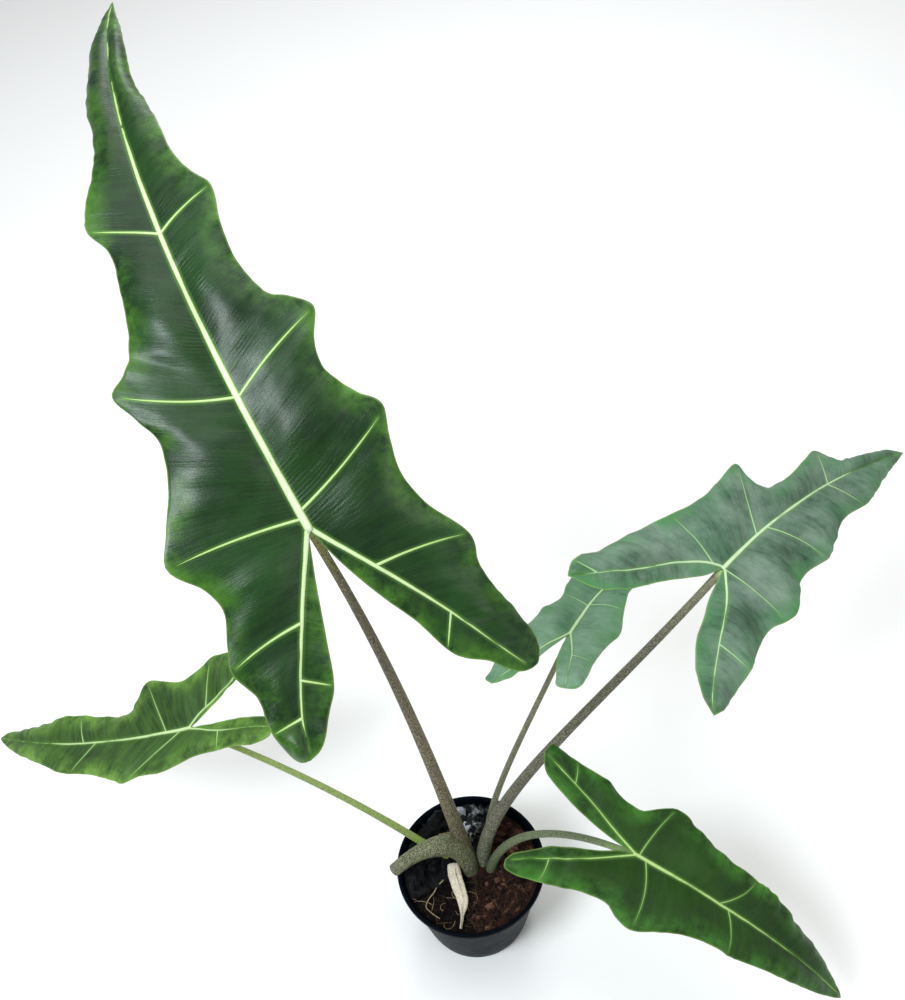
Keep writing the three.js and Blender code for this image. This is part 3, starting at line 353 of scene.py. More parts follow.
def add_piece(name, points, faces, paints, nodes=(), attributes=None, face_paints=None, smooth=True):
    mesh = bpy.data.meshes.new(name)
    mesh.from_pydata([tuple(p) for p in points], [], [tuple(f) for f in faces])
    for key, values in (attributes or {}).items():
        layer = mesh.attributes.new(key, "FLOAT", "POINT")
        layer.data.foreach_set("value", np.asarray(values, np.float32))
    for paint in paints:
        mesh.materials.append(paint)
    if face_paints is not None:
        mesh.polygons.foreach_set("material_index", face_paints)
    mesh.polygons.foreach_set("use_smooth", [smooth] * len(mesh.polygons))
    mesh.update()
    piece = bpy.data.objects.new(name, mesh)
    bpy.context.scene.collection.objects.link(piece)
    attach(piece, "root")
    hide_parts(*nodes)
    return piece


class Heap:
    """Gathers small shapes, and their attributes, into one mesh."""

    def __init__(self):
        self.points = []
        self.faces = []
        self.attributes = {}

    def add(self, points, faces, **attributes):
        base = len(self.points)
        self.points.extend(points)
        self.faces.extend([base + v for v in face] for face in faces)
        for key, values in attributes.items():
            whole = np.broadcast_to(values, (len(points),))
            self.attributes.setdefault(key, []).extend(whole)


def unit(vectors):
    return vectors / np.maximum(np.linalg.norm(vectors, axis=-1, keepdims=True), 1e-12)


def ring_faces(count, sides):
    """The faces between so many rings of points, one after the other."""
    faces = []
    for i in range(count - 1):
        for k in range(sides):
            a, b = i * sides + k, i * sides + (k + 1) % sides
            faces.append((a, b, b + sides, a + sides))
    return faces


def tube(path, radii, sides=12, flatten=1.0, shape=None, end=None):
    """A closed tube: points, faces and each point's share of the way along. shape(t, angle) scales its
    radius, and the last ring is square to the direction end."""
    path = np.asarray(path, float)
    count = len(path)
    radii = np.broadcast_to(radii, (count,))
    tangents = unit(np.gradient(path, axis=0))
    if end is not None:
        tangents[-1] = end
        tangents[-2] = unit(tangents[-2] + 0.6 * end)
    angles = np.linspace(0, 2 * np.pi, sides, endpoint=False)
    across = np.array([1.0, 0, 0]) if abs(tangents[0][0]) < 0.9 else np.array([0, 0, 1.0])
    rings = []
    for i in range(count):
        across = unit(across - tangents[i] * (across @ tangents[i]))
        other = np.cross(tangents[i], across)
        size = radii[i] * (shape(i / (count - 1), angles) if shape else np.ones(sides))
        rings.append(path[i] + np.outer(np.cos(angles) * size, across)
                     + np.outer(np.sin(angles) * size * flatten, other))
    points = np.vstack([*rings, path[:1], path[-1:]])
    faces = ring_faces(count, sides)
    first, last = count * sides, count * sides + 1
    for k in range(sides):
        faces.append((first, (k + 1) % sides, k))
        faces.append((last, (count - 1) * sides + k, (count - 1) * sides + (k + 1) % sides))
    share = np.append(np.repeat(np.arange(count) / (count - 1), sides), [0, 1])
    return points, faces, share


def bezier(controls, count):
    t = np.linspace(0, 1, count)[:, None]
    a, b, c, d = (np.asarray(p, float) for p in controls)
    return a * (1 - t) ** 3 + 3 * b * t * (1 - t) ** 2 + 3 * c * t * t * (1 - t) + d * t ** 3


def through(points, count):
    """A smooth path through a list of points."""
    points = np.asarray(points, float)
    slopes = np.gradient(points, axis=0)
    place = np.linspace(0, len(points) - 1, count)
    i = np.minimum(place.astype(int), len(points) - 2)
    x = (place - i)[:, None]
    return (points[i] * (2 * x ** 3 - 3 * x ** 2 + 1) + points[i + 1] * (3 * x ** 2 - 2 * x ** 3)
            + slopes[i] * (x ** 3 - 2 * x ** 2 + x) + slopes[i + 1] * (x ** 3 - x ** 2))


def spread(values, count):
    """Values drawn evenly along a path of so many points."""
    return np.interp(np.linspace(0, len(values) - 1, count), np.arange(len(values)), values)


def roughness_of(points, scale, seed):
    """Smooth noise between about -1 and 1 at each point, at so many waves per metre."""
    shift = Vector((seed * 7.3, seed * 3.1, seed * 5.7))
    return np.array([noise.noise(Vector(p) * scale + shift) for p in points])


# Paints

def tint(code):
    """A linear colour from a hex code."""
    values = [int(code[i:i + 2], 16) / 255 for i in (1, 3, 5)]
    return [v / 12.92 if v <= 0.04045 else ((v + 0.055) / 1.055) ** 2.4 for v in values] + [1.0]


class Paint:
    """One procedural material. Each method adds a node and returns its output."""

    def __init__(self, name, **sockets):
        self.material = bpy.data.materials.new(name)
        self.material.use_nodes = True
        self.tree = self.material.node_tree
        self.tree.nodes.clear()
        self.shader = self.tree.nodes.new("ShaderNodeBsdfPrincipled")
        output = self.tree.nodes.new("ShaderNodeOutputMaterial")
        self.tree.links.new(self.shader.outputs[0], output.inputs[0])
        for key, value in sockets.items():
            self.shader.inputs[key.replace("_", " ")].default_value = value
        self.place = self.node("TexCoord").outputs["Object"]

    def node(self, kind, inputs=(), **settings):
        node = self.tree.nodes.new("ShaderNode" + kind)
        for key, value in settings.items():
            setattr(node, key, value)
        for key, value in dict(inputs).items():
            self.feed(node.inputs[key], value)
        return node

    def feed(self, socket, value):
        if isinstance(value, bpy.types.NodeSocket):
            self.tree.links.new(value, socket)
        else:
            socket.default_value = value

    def attribute(self, name):
        return self.node("Attribute", attribute_name=name).outputs["Fac"]

    def stretched(self, scale, where=None):
        return self.node("Mapping", {"Vector": where or self.place, "Scale": scale}).outputs[0]

    def noise(self, scale, detail=3.0, rough=0.55, where=None):
        sockets = {"Vector": where or self.place, "Scale": scale, "Detail": detail, "Roughness": rough}
        return self.node("TexNoise", sockets).outputs["Fac"]

    def cell_borders(self, scale):
        sockets = {"Vector": self.place, "Scale": scale}
        return self.node("TexVoronoi", sockets, feature="DISTANCE_TO_EDGE").outputs[0]

    def span(self, value, low, high, to_low=0.0, to_high=1.0):
        sockets = {0: value, 1: low, 2: high, 3: to_low, 4: to_high}
        return self.node("MapRange", sockets).outputs[0]

    def math(self, operation, a, b=0.0):
        return self.node("Math", {0: a, 1: b}, operation=operation).outputs[0]

    def mix(self, share, a, b):
        sockets = {0: share, 6: a, 7: b}
        return self.node("Mix", sockets, data_type="RGBA").outputs[2]

    def vector(self, x, y, z=0.0):
        return self.node("CombineXYZ", {0: x, 1: y, 2: z}).outputs[0]

    def bump(self, height, distance, strength=1.0, under=None):
        sockets = {"Height": height, "Distance": distance, "Strength": strength}
        if under:
            sockets["Normal"] = under
        return self.node("Bump", sockets).outputs[0]

    def finish(self, colour, roughness, normal):
        self.feed(self.shader.inputs["Base Color"], colour)
        self.feed(self.shader.inputs["Roughness"], roughness)
        self.feed(self.shader.inputs["Normal"], normal)
        return self.material


def blade_paint(name, deep, fresh, painted_sheen, painted_sheen_share, margin, gloss, dark, streaky):
    """A leaf's upper side: streaks along its side veins, pale patches of painted sheen, fresh margins and
    ripples.
    """
    paint = Paint(name, Coat_Weight=0.12 * gloss, Coat_Roughness=0.25, Specular_IOR_Level=0.14 + 0.14 * gloss)
    place, out, edge, vein = (paint.attribute(key) for key in ("place", "out", "edge", "vein"))
    flat = paint.vector(place, out)
    streaks = paint.noise(1.0, 4, 0.65, paint.stretched((230, 26, 1), flat))
    threads = paint.noise(1.0, 3, 0.7, paint.stretched((900, 40, 1), flat))
    clouds = paint.noise(19, 4, 0.6)
    green = paint.mix(paint.span(clouds, 0.38, 0.66), tint(deep), tint(fresh))
    green = paint.mix(paint.span(streaks, 0.46, 0.7, 0, 0.75 * streaky), green, tint(fresh))
    green = paint.mix(paint.span(streaks, 0.5, 0.3, 0, 0.8 * streaky), green, tint(dark))
    # Painted sheen: pale patches mixed into the green, standing in for the soft reflection of the lights on
    # the blade.
    sheen_patches = paint.noise(26, 5, 0.65)
    green = paint.mix(paint.span(sheen_patches, 0.38, 0.7, 0.1 * painted_sheen_share, painted_sheen_share), green, tint(painted_sheen))
    near_edge = paint.span(edge, 0.0, 0.018, 1, 0)
    patches = paint.span(paint.noise(40, 4, 0.7), 0.4, 0.62)
    green = paint.mix(paint.math("MULTIPLY", near_edge, patches), green, tint(margin))
    green = paint.mix(paint.span(threads, 0.55, 0.8, 0, 0.35 * streaky), green, tint(dark))
    green = paint.mix(paint.span(edge, 0.0002, 0.0012, 0.4, 0), green, tint("#86a552"))
    green = paint.mix(paint.span(vein, 0.0, 0.0018, 0.45, 0), green, tint("#5f8f3c"))
    roughness = paint.span(paint.noise(70, 3), 0.3, 0.7, 0.5 - 0.2 * gloss, 0.62 - 0.2 * gloss)
    wander = paint.math("MULTIPLY", paint.noise(30, 2), 0.007)
    along_rib = paint.math("ADD", place, wander)
    wave = paint.math("SINE", paint.math("MULTIPLY", along_rib, 2 * math.pi / RIPPLE_WAVE))
    middle = paint.span(out, 0.002, 0.05, 1, 0.1)
    patchy = paint.span(paint.noise(30, 3), 0.42, 0.6)
    ripples = paint.math("MULTIPLY", wave, paint.math("MULTIPLY", middle, patchy))
    grain = paint.bump(paint.noise(1100, 3), 0.00012)
    rippled = paint.bump(ripples, 0.00006, 1.0, grain)
    creased = paint.bump(streaks, 0.0005, 0.8, paint.bump(threads, 0.00025, 0.8, rippled))
    return paint.finish(green, roughness, creased)


def underside_paint(name, colour, pale):
    """A leaf's lower side: paler, with the net of fine veins."""
    paint = Paint(name, Specular_IOR_Level=0.35)
    vein, rib = paint.attribute("vein"), paint.attribute("rib")
    mottle = paint.span(paint.noise(60, 4, 0.6), 0.3, 0.7)
    green = paint.mix(mottle, tint(colour), tint(pale))
    net = paint.cell_borders(260)
    green = paint.mix(paint.span(net, 0.0, 0.08, 0.35, 0), green, tint(pale))
    green = paint.mix(paint.span(rib, 0.15, 0.6), green, tint("#a9bf86"))
    roughness = paint.span(vein, 0.0, 0.01, 0.42, 0.6)
    return paint.finish(green, roughness, paint.bump(net, 0.0002, 0.6))


def rib_paint(name, pale, green):
    """A pale rib, greener along its sides, on the side veins and towards its thin end."""
    paint = Paint(name, Specular_IOR_Level=0.4)
    away, side, minor = (paint.attribute(key) for key in ("away", "side", "minor"))
    streaks = paint.noise(900, 3, 0.6)
    share = paint.math("ADD", paint.span(away, 0.1, 1.0, 0, 0.5), paint.span(side, 0.45, 0.95, 0, 0.6))
    share = paint.math("ADD", share, paint.math("MULTIPLY", minor, 0.5))
    share = paint.math("ADD", share, paint.span(streaks, 0.3, 0.8, -0.1, 0.15))
    colour = paint.mix(paint.span(share, 0, 1), tint(pale), tint(green))
    roughness = paint.span(streaks, 0.3, 0.7, 0.34, 0.5)
    return paint.finish(colour, roughness, paint.bump(streaks, 0.0001))


def stalk_paint(name, foot, middle, neck, speckle, density, joined=True):
    """A stalk's skin, mottled with short dark and pale bars. Joined to a blade, it ends pale green."""
    paint = Paint(name, Specular_IOR_Level=0.3)
    share = paint.attribute("share")
    ground = paint.mix(paint.span(share, 0.0, 0.3), tint(foot), tint(middle))
    ground = paint.mix(paint.span(share, 0.84, 0.99), ground, tint(neck))
    bars = paint.noise(1.0, 3, 0.75, paint.stretched((1100, 1100, 560)))
    level = paint.math("SUBTRACT", bars, paint.span(share, 0.8, 1.0, 0.0, 0.12 if joined else 0.0))
    marks = paint.span(level, 0.54 - 0.08 * density, 0.6 - 0.08 * density, 0, 0.95)
    colour = paint.mix(marks, ground, tint(speckle))
    flecks = paint.noise(1300, 2, 0.6)
    colour = paint.mix(paint.span(flecks, 0.56, 0.64, 0, 0.75 * density), colour, tint("#bdb894"))
    if joined:
        colour = paint.mix(paint.span(share, 0.982, 0.996), colour, tint("#b4c98a"))
    roughness = paint.span(bars, 0.3, 0.7, 0.45, 0.65)
    lines = paint.noise(1.0, 2, 0.5, paint.stretched((1500, 1500, 60)))
    return paint.finish(colour, roughness, paint.bump(bars, 0.0001, 0.8, paint.bump(lines, 0.0002)))


def pot_paint():
    """Thin black plastic with a blue cast, faint scuffs and dust."""
    paint = Paint("pot_plastic", Specular_IOR_Level=0.015)
    scuffs = paint.noise(1.0, 5, 0.7, paint.stretched((70, 70, 420)))
    dust = paint.noise(90, 5, 0.65)
    colour = paint.mix(paint.span(paint.noise(14, 3), 0.3, 0.7), tint("#04070b"), tint("#0a121c"))
    colour = paint.mix(paint.span(dust, 0.6, 0.82, 0, 0.14), colour, tint("#46505a"))
    roughness = paint.span(scuffs, 0.35, 0.7, 0.3, 0.46)
    return paint.finish(colour, roughness, paint.bump(scuffs, 0.00015, 0.5, paint.bump(dust, 0.0001, 0.5)))


def crumb_paint(name, dark, middle, light, bump, fleck=0.25):
    """Rough loose stuff. Each crumb carries its own shade between 0 and 1."""
    paint = Paint(name, Specular_IOR_Level=0.15)
    shade = paint.attribute("shade")
    grain = paint.noise(420, 5, 0.7)
    coarse = paint.noise(150, 5, 0.65)
    level = paint.math("ADD", shade, paint.span(coarse, 0.32, 0.68, -0.32, 0.32))
    colour = paint.mix(paint.span(level, 0.0, 0.55), tint(dark), tint(middle))
    colour = paint.mix(paint.span(level, 0.6, 1.05), colour, tint(light))
    colour = paint.mix(paint.span(grain, 0.62, 0.78, 0, fleck), colour, tint(light))
    roughness = paint.span(grain, 0.3, 0.7, 0.72, 0.95)
    return paint.finish(colour, roughness, paint.bump(grain, bump, 0.9, paint.bump(coarse, bump * 1.5, 0.7)))


def fibre_paint(name, dark, light):
    """Dry fibre: each strand has its own shade."""
    paint = Paint(name, Specular_IOR_Level=0.25)
    shade = paint.attribute("shade")
    streaks = paint.noise(700, 3, 0.6)
    level = paint.math("ADD", shade, paint.span(streaks, 0.3, 0.7, -0.25, 0.25))
    colour = paint.mix(paint.span(level, 0, 1), tint(dark), tint(light))
    return paint.finish(colour, paint.span(streaks, 0.3, 0.7, 0.65, 0.85), paint.bump(streaks, 0.00015))


def floor_paint():
    paint = Paint("studio_floor", Specular_IOR_Level=0.2)
    soft = paint.noise(3, 2)
    colour = paint.mix(soft, tint("#fafaf9"), tint("#fdfdfc"))
    roughness = paint.span(soft, 0.3, 0.7, 0.85, 0.9)
    return paint.finish(colour, roughness, paint.bump(paint.noise(260, 2), 0.0001, 0.2))


# Blades

def closed(leaf):
    """The leaf with the points that its lists share: its tip, its foot and the ends of its rear lobes."""
    whole = dict(leaf)
    tip = leaf["length"]
    for name in ("left", "right"):
        half = leaf[name]
        end, out = half["end"]
        whole[name] = {
            **half,
            "margin": [(tip, tip, 0), *half["margin"], (end, end, out)],
            "costa": [(0, 0), *half["costa"], (end, out)],
            "sinus": [(0, 0, 0), *half["sinus"], (end, end, out)],
        }
    return whole


def along(rows, places):
    """A smooth curve through rows that start with a falling place: the rest of the row at each place."""
    rows = np.asarray(rows, float)
    places = np.asarray(places, float)
    before = np.vstack([rows[:1], rows[:-1]])
    after = np.vstack([rows[1:], rows[-1:]])
    slopes = (after - before)[:, 1:] / (after - before)[:, :1]
    keys, values = rows[:, 0], rows[:, 1:]
    i = np.searchsorted(-keys[1:-1], -places, side="left")
    span = (keys[i + 1] - keys[i])[:, None]
    x = np.clip((places - keys[i])[:, None] / span, 0, 1)
    return (values[i] * (2 * x ** 3 - 3 * x ** 2 + 1) + values[i + 1] * (3 * x ** 2 - 2 * x ** 3)
            + slopes[i] * span * (x ** 3 - 2 * x ** 2 + x) + slopes[i + 1] * span * (x ** 3 - x ** 2))


def axes_of(leaf, ahead):
    """Forward, side and up directions of the midrib at places ahead of the foot."""
    bend = np.where(ahead >= 0, leaf["droop"], leaf["back"])
    pitch = np.radians(leaf["pitch"] + bend * ahead / 0.1)
    heading = np.radians(leaf["heading"] + leaf["turn"] * ahead / 0.1)
    level_reach = np.cos(pitch)
    forward = np.stack([level_reach * np.cos(heading), level_reach * np.sin(heading), np.sin(pitch)], -1)
    level = np.stack([-np.sin(heading), np.cos(heading), 0 * heading], -1)
    upright = np.cross(forward, level)
    roll = math.radians(leaf["roll"])
    side = level * math.cos(roll) + upright * math.sin(roll)
    up = upright * math.cos(roll) - level * math.sin(roll)
    return forward, side, up


def midrib_of(leaf):
    """Places of the midrib's line, and of its straight-back continuation, at even steps."""
    def walk(direction, reach):
        steps = direction * (np.arange(int(reach / FRAME_STEP) + 1) + 0.5) * FRAME_STEP
        forward = axes_of(leaf, steps)[0]
        return np.asarray(leaf["foot"]) + np.cumsum(direction * FRAME_STEP * forward, axis=0)
    ahead, behind = walk(1, leaf["length"]), walk(-1, REAR_REACH)
    places = np.vstack([behind[::-1], [leaf["foot"]], ahead])
    keys = (np.arange(len(places)) - len(behind)) * FRAME_STEP
    return keys, places


def surface_of(leaf):
    """Maps flat coordinates (ahead of the foot, out to the left) and a lift to places in the plant."""
    keys, places = midrib_of(leaf)
    fold = math.radians(leaf["fold"])
    cup = math.radians(leaf["cup"]) / 0.1

    def place(flat, lift=0.0):
        ahead, out = flat[..., 0], flat[..., 1]
        _, side, up = axes_of(leaf, ahead)
        middle = np.stack([np.interp(ahead, keys, places[:, k]) for k in range(3)], -1)
        reach = np.abs(out)
        across = (np.sin(fold + cup * reach) - math.sin(fold)) / cup
        rise = (math.cos(fold) - np.cos(fold + cup * reach)) / cup
        return middle + side * (np.sign(out) * across)[..., None] + up * (rise + lift)[..., None]
    return place


def rungs(half, edge, places, shares):
    """Flat coordinates of a ladder's rungs, from the spine out to an edge. They bow as the side veins do."""
    spine = np.column_stack([places, along(half["costa"], places)[:, 0]])[:, None]
    rim = along(half[edge], places)[:, None]
    shares = np.asarray(shares)[None, :, None]
    flat = spine + (rim - spine) * shares
    if edge == "margin":
        stops, bows = np.array(half["veins"]).T
        bow = np.interp(-places, -stops, bows)[:, None]
        length = np.linalg.norm(rim - spine, axis=-1)
        flat[..., 0] += 4 * bow * length * (shares * (1 - shares))[..., 0]
    return flat


def between_veins(leaf, half, places):
    """0 on a side vein, 1 halfway to the next."""
    veins = [place for place, _ in half["veins"]]
    ends = np.array([leaf["length"], *veins, half["end"][0]])
    i = np.searchsorted(-ends[1:-1], -places, side="left")
    return np.sin(np.pi * (ends[i] - places) / (ends[i] - ends[i + 1])) ** 2


def rib_lines(leaf):
    """Every rib as a line of flat coordinates with half widths that narrow along it."""
    size = leaf["rib"]
    midrib = np.linspace(MIDRIB_START, MIDRIB_SHARE * leaf["length"], 160)
    middle = np.column_stack([midrib, 0 * midrib])
    lines = [{"flat": middle, "wide": size, "thin": THIN_END * size, "minor": 0.0}]
    for name, sign, share in LOBE_RIBS:
        half = leaf[name]
        end = half["end"][0]
        places = np.linspace(0.0, LOBE_RIB_SHARE * end, 60)
        costa = np.column_stack([places, along(half["costa"], places)[:, 0]])
        lines.append({"flat": costa * (1, sign), "wide": share * size, "thin": LOBE_RIB_END * size,
                      "minor": LOBE_RIB_GREEN})
        veins = [("margin", place) for place, _ in half["veins"]]
        veins += [("sinus", place) for place in half["inner_veins"]]
        for edge, place in veins:
            flat = rungs(half, edge, np.array([place]), np.linspace(*VEIN_SHARES, 26))[0]
            lines.append({"flat": flat * (1, sign), "wide": VEIN_WIDTHS[edge] * size, "thin": VEIN_END * size,
                          "minor": 1.0})
    return lines


def line_widths(line):
    share = np.linspace(0, 1, len(line["flat"]))
    return line["wide"] + (line["thin"] - line["wide"]) * share ** 0.8


def rib_fields(lines, flat):
    """Distance to the nearest rib, and a ridge that is 1 on a rib and fades at its sides."""
    nearest = np.full(len(flat), 1.0)
    ridge = np.zeros(len(flat))
    for line in lines:
        points, widths = line["flat"], line_widths(line)
        for i in range(0, len(points) - 1, 2):
            j = min(i + 2, len(points) - 1)
            step = points[j] - points[i]
            t = np.clip((flat - points[i]) @ step / (step @ step), 0, 1)
            distance = np.linalg.norm(flat - points[i] - t[:, None] * step, axis=1)
            width = widths[i] * 1.25
            nearest = np.minimum(nearest, np.maximum(distance - widths[i], 0))
            ridge = np.maximum(ridge, np.exp(-(distance / width) ** 2) * widths[i])
    return nearest, ridge


def blade_net(leaf, seed):
    """The blade's middle surface: welded points with their fields, and faces."""
    surface = surface_of(leaf)
    even = np.linspace(0, 1, COLUMNS + 1)
    shares = 0.55 * even + 0.45 * (1 - np.cos(np.pi * even)) / 2
    inner_shares = np.linspace(0, 1, INNER_COLUMNS + 1)
    mid = np.linspace(leaf["length"], 0, int(leaf["length"] / RUNG_SPACING) + 1)
    points, flats, edges, faces, ladders = [], [], [], [], []

    def weave(flat, lift, places, upward):
        rows, columns = flat.shape[:2]
        base = sum(len(p) for p in points)
        length = np.linalg.norm(flat[:, -1] - flat[:, 0], axis=1)
        walked = np.linalg.norm(flat - flat[:, -1:], axis=2)
        points.append(surface(flat, lift).reshape(-1, 3))
        flats.append(flat.reshape(-1, 2))
        edges.append(np.minimum(walked, length[:, None]).ravel())
        ladders.append(np.repeat(places, columns))
        for i in range(rows - 1):
            for j in range(columns - 1):
                a = base + i * columns + j
                quad = (a, a + columns, a + columns + 1, a + 1)
                faces.append(quad if upward else quad[::-1])

    for name, sign in (("left", 1), ("right", -1)):
        half = leaf[name]
        end = half["end"][0]
        rear = np.linspace(0, end, int(-end / RUNG_SPACING) + 1)
        places = np.concatenate([mid, rear[1:]])
        outer = rungs(half, "margin", places, shares) * (1, sign)
        wave = between_veins(leaf, half, places)[:, None]
        lift = wave * (leaf["quilt"] * np.sin(np.pi * shares) - leaf["ruffle"] * shares ** 3)
        weave(outer, lift, places, sign < 0)
        inner = rungs(half, "sinus", rear, inner_shares) * (1, sign)
        weave(inner, np.zeros(inner.shape[:2]), rear, sign > 0)

    points, flats, edges = np.vstack(points), np.vstack(flats), np.concatenate(edges)
    _, kept, welded = np.unique(np.round(points, 7), axis=0, return_index=True, return_inverse=True)
    welded = welded.ravel()
    net_faces = []
    for face in faces:
        corners = list(dict.fromkeys(welded[v] for v in face))
        if len(corners) > 2:
            net_faces.append(corners)
    points, flat, edge = points[kept], flats[kept], edges[kept]
    rung = np.concatenate(ladders)[kept]
    np.minimum.at(edge, welded, edges)
    normals = point_normals(points, net_faces)
    out = np.abs(flat[:, 1])
    spots = np.column_stack([rung, flat[:, 1], np.zeros(len(flat))])
    pucker = roughness_of(spots, 34, seed) * 0.0011 + roughness_of(spots, 80, seed + 1) * 0.0004
    pleats = roughness_of(spots * (1, 0.12, 1), 105, seed + 2) * np.clip(out / 0.03, 0.15, 1)
    frill = roughness_of(spots * (1, 0.25, 1), 120, seed + 4) * 0.001 * np.exp(-edge / 0.012)
    crease = roughness_of(spots * (1, 0.1, 1), 260, seed + 3) * 0.0003 * np.exp(-out / 0.025)
    points = points + normals * (pucker + leaf_pleat(leaf) * pleats + frill + crease)[:, None]
    return points, net_faces, point_normals(points, net_faces), flat, edge, rung


def leaf_pleat(leaf):
    """Height of the pleats beside the side veins: a leaf with a deep quilt is stiff and has low ones."""
    return PLEAT_HEIGHT - PLEAT_LOSS * leaf["quilt"]


def point_normals(points, faces):
    triangles = np.array([t for f in faces for t in ([f[0], f[1], f[2]], [f[0], f[2], f[-1]])])
    a, b, c = (points[triangles[:, k]] for k in range(3))
    across = np.cross(b - a, c - a)
    normals = np.zeros_like(points)
    for k in range(3):
        np.add.at(normals, triangles[:, k], across)
    return unit(normals)


def rim_edges(faces):
    """Directed edges that only one face has."""
    edges = {(f[k], f[(k + 1) % len(f)]) for f in faces for k in range(len(f))}
    return [(a, b) for a, b in edges if (b, a) not in edges]


def add_blade(name, leaf, seed, paints):
    points, faces, normals, flat, edge, rung = blade_net(leaf, seed)
    lines = rib_lines(leaf)
    nearest, ridge = rib_fields(lines, flat)
    count = len(points)
    inward = np.clip(edge / 0.004, 0, 1)[:, None]
    half = (MARGIN_THICKNESS + (BLADE_THICKNESS - MARGIN_THICKNESS) * inward) / 2
    above = points + normals * half
    below = points - normals * (half + 0.55 * ridge[:, None])
    rim = sorted(rim_edges(faces))
    outward = np.zeros_like(points)
    for a, b in rim:
        away = np.cross(points[b] - points[a], normals[a] + normals[b])
        outward[a] += away
        outward[b] += away
    rim_points = sorted({v for e in rim for v in e})
    middle = {v: 2 * count + k for k, v in enumerate(rim_points)}
    bead = points[rim_points] + unit(outward[rim_points]) * MARGIN_THICKNESS * 0.6
    all_faces = [list(f) for f in faces] + [[v + count for v in reversed(f)] for f in faces]
    all_faces += [[b, a, middle[a], middle[b]] for a, b in rim]
    all_faces += [[middle[b], middle[a], a + count, b + count] for a, b in rim]
    face_paints = [0] * len(faces) + [1] * len(faces) + [0] * (2 * len(rim))
    fields = {"place": rung, "out": np.abs(flat[:, 1]), "edge": edge, "vein": nearest,
              "rib": ridge / leaf["rib"]}
    attributes = {k: np.concatenate([v, v, v[rim_points]]) for k, v in fields.items()}
    all_points = np.vstack([above, below, bead])
    add_piece(f"leaf_{name}", all_points, all_faces, paints, [f"blade_{name}"], attributes, face_paints)
    top = BVHTree.FromPolygons([Vector(p) for p in above], faces)
    return lines, top


def add_ribs(name, leaf, lines, top, paint):
    """Rounded ribs that follow the blade's upper side, in one mesh."""
    surface = surface_of(leaf)
    heap = Heap()
    angles = np.linspace(0, 2 * np.pi, RIB_SIDES, endpoint=False)
    for line in lines:
        flat, widths = line["flat"], line_widths(line)
        tangents = unit(np.gradient(flat, axis=0))
        beside = np.column_stack([-tangents[:, 1], tangents[:, 0]])
        count = len(flat)
        taper = np.minimum(1, (count - 1 - np.arange(count)) / 6 + 0.1)
        points, away, side = [], [], []
        for i in range(count):
            for angle in angles:
                width = widths[i] * taper[i]
                spot = surface(flat[i] + beside[i] * width * math.cos(angle))
                ground, normal, _, _ = top.find_nearest(Vector(spot))
                height = (RIB_HEIGHT * width if math.sin(angle) > 0 else RIB_SINK) * math.sin(angle)
                points.append(ground + normal * height)
                away.append(i / (count - 1))
                side.append(abs(math.cos(angle)))
        faces = ring_faces(count, RIB_SIDES)
        faces.append(tuple(range(RIB_SIDES))[::-1])
        faces.append(tuple((count - 1) * RIB_SIDES + k for k in range(RIB_SIDES)))
        heap.add(points, faces, away=away, side=side, minor=line["minor"])
    add_piece(f"veins_{name}", heap.points, heap.faces, [paint], [f"ribs_{name}"], heap.attributes)


# Stalks

def stalk_path(name, count=90):
    """The stalk's line up to just below the blade, and the blade's own upright there."""
    surface = surface_of(LEAVES[name])
    foot = np.zeros(2)
    upright = unit(surface(foot, 0.001) - surface(foot))
    return bezier([*STALKS[name]["path"], surface(foot, -0.0016)], count), upright


def sheathed(t, angles):
    """A stalk's outline: two low wings of the sheath near its foot, and a faint groove above."""
    def bulge(middle, width):
        return np.exp(-((np.cos(angles - middle) - 1) / width) ** 2)

    wings = bulge(1.2, 0.05) + bulge(2.4, 0.05)
    groove = bulge(1.8, 0.1)
    return 1 + 0.1 * wings * max(0.0, 1 - t / 0.35) - 0.05 * groove


def add_stalk(name, paint):
    stalk = STALKS[name]
    path, upright = stalk_path(name)
    share = np.linspace(0, 1, len(path))
    radii = stalk["foot"] + (stalk["neck"] - stalk["foot"]) * share ** 0.5
    swelling = 1 + 0.15 * np.clip((share - 0.955) / 0.045, 0, 1) ** 2
    unevenness = 1 + 0.025 * roughness_of(path, 60, ord(name))
    points, faces, along_share = tube(path, radii * swelling * unevenness, 22, shape=sheathed, end=upright)
    add_piece(f"petiole_{name}", points, faces, [paint], [f"stalk_{name}"], {"share": along_share})


def add_pruned_stalk(paint, cut_paint):
    """The arched stalk without a blade. Its cut end is a little hollow."""
    path = through(PRUNED_STALK, 70)
    radii = spread(PRUNED_STALK_RADII, len(path)) * (1 + 0.03 * roughness_of(path, 90, 4))
    points, faces, along_share = tube(path, radii, 26, shape=sheathed)
    face_paints = [int(len(points) - 1 in face) for face in faces]
    points[-1] -= unit(path[-1] - path[-2]) * CUT_HOLLOW
    add_piece("pruned_petiole", points, faces, [paint, cut_paint], ["pruned_stalk"],
              {"share": along_share}, face_paints)


def add_cataphyll(paint):
    def fluted(_, angles):
        return 1 + 0.06 * np.cos(5 * angles)

    path = through(CATAPHYLL, 30)
    points, faces, share = tube(path, spread(CATAPHYLL_RADII, 30), 20, 0.5, fluted)
    add_piece("scale_leaf", points, faces, [paint], ["cataphyll"], {"share": share})


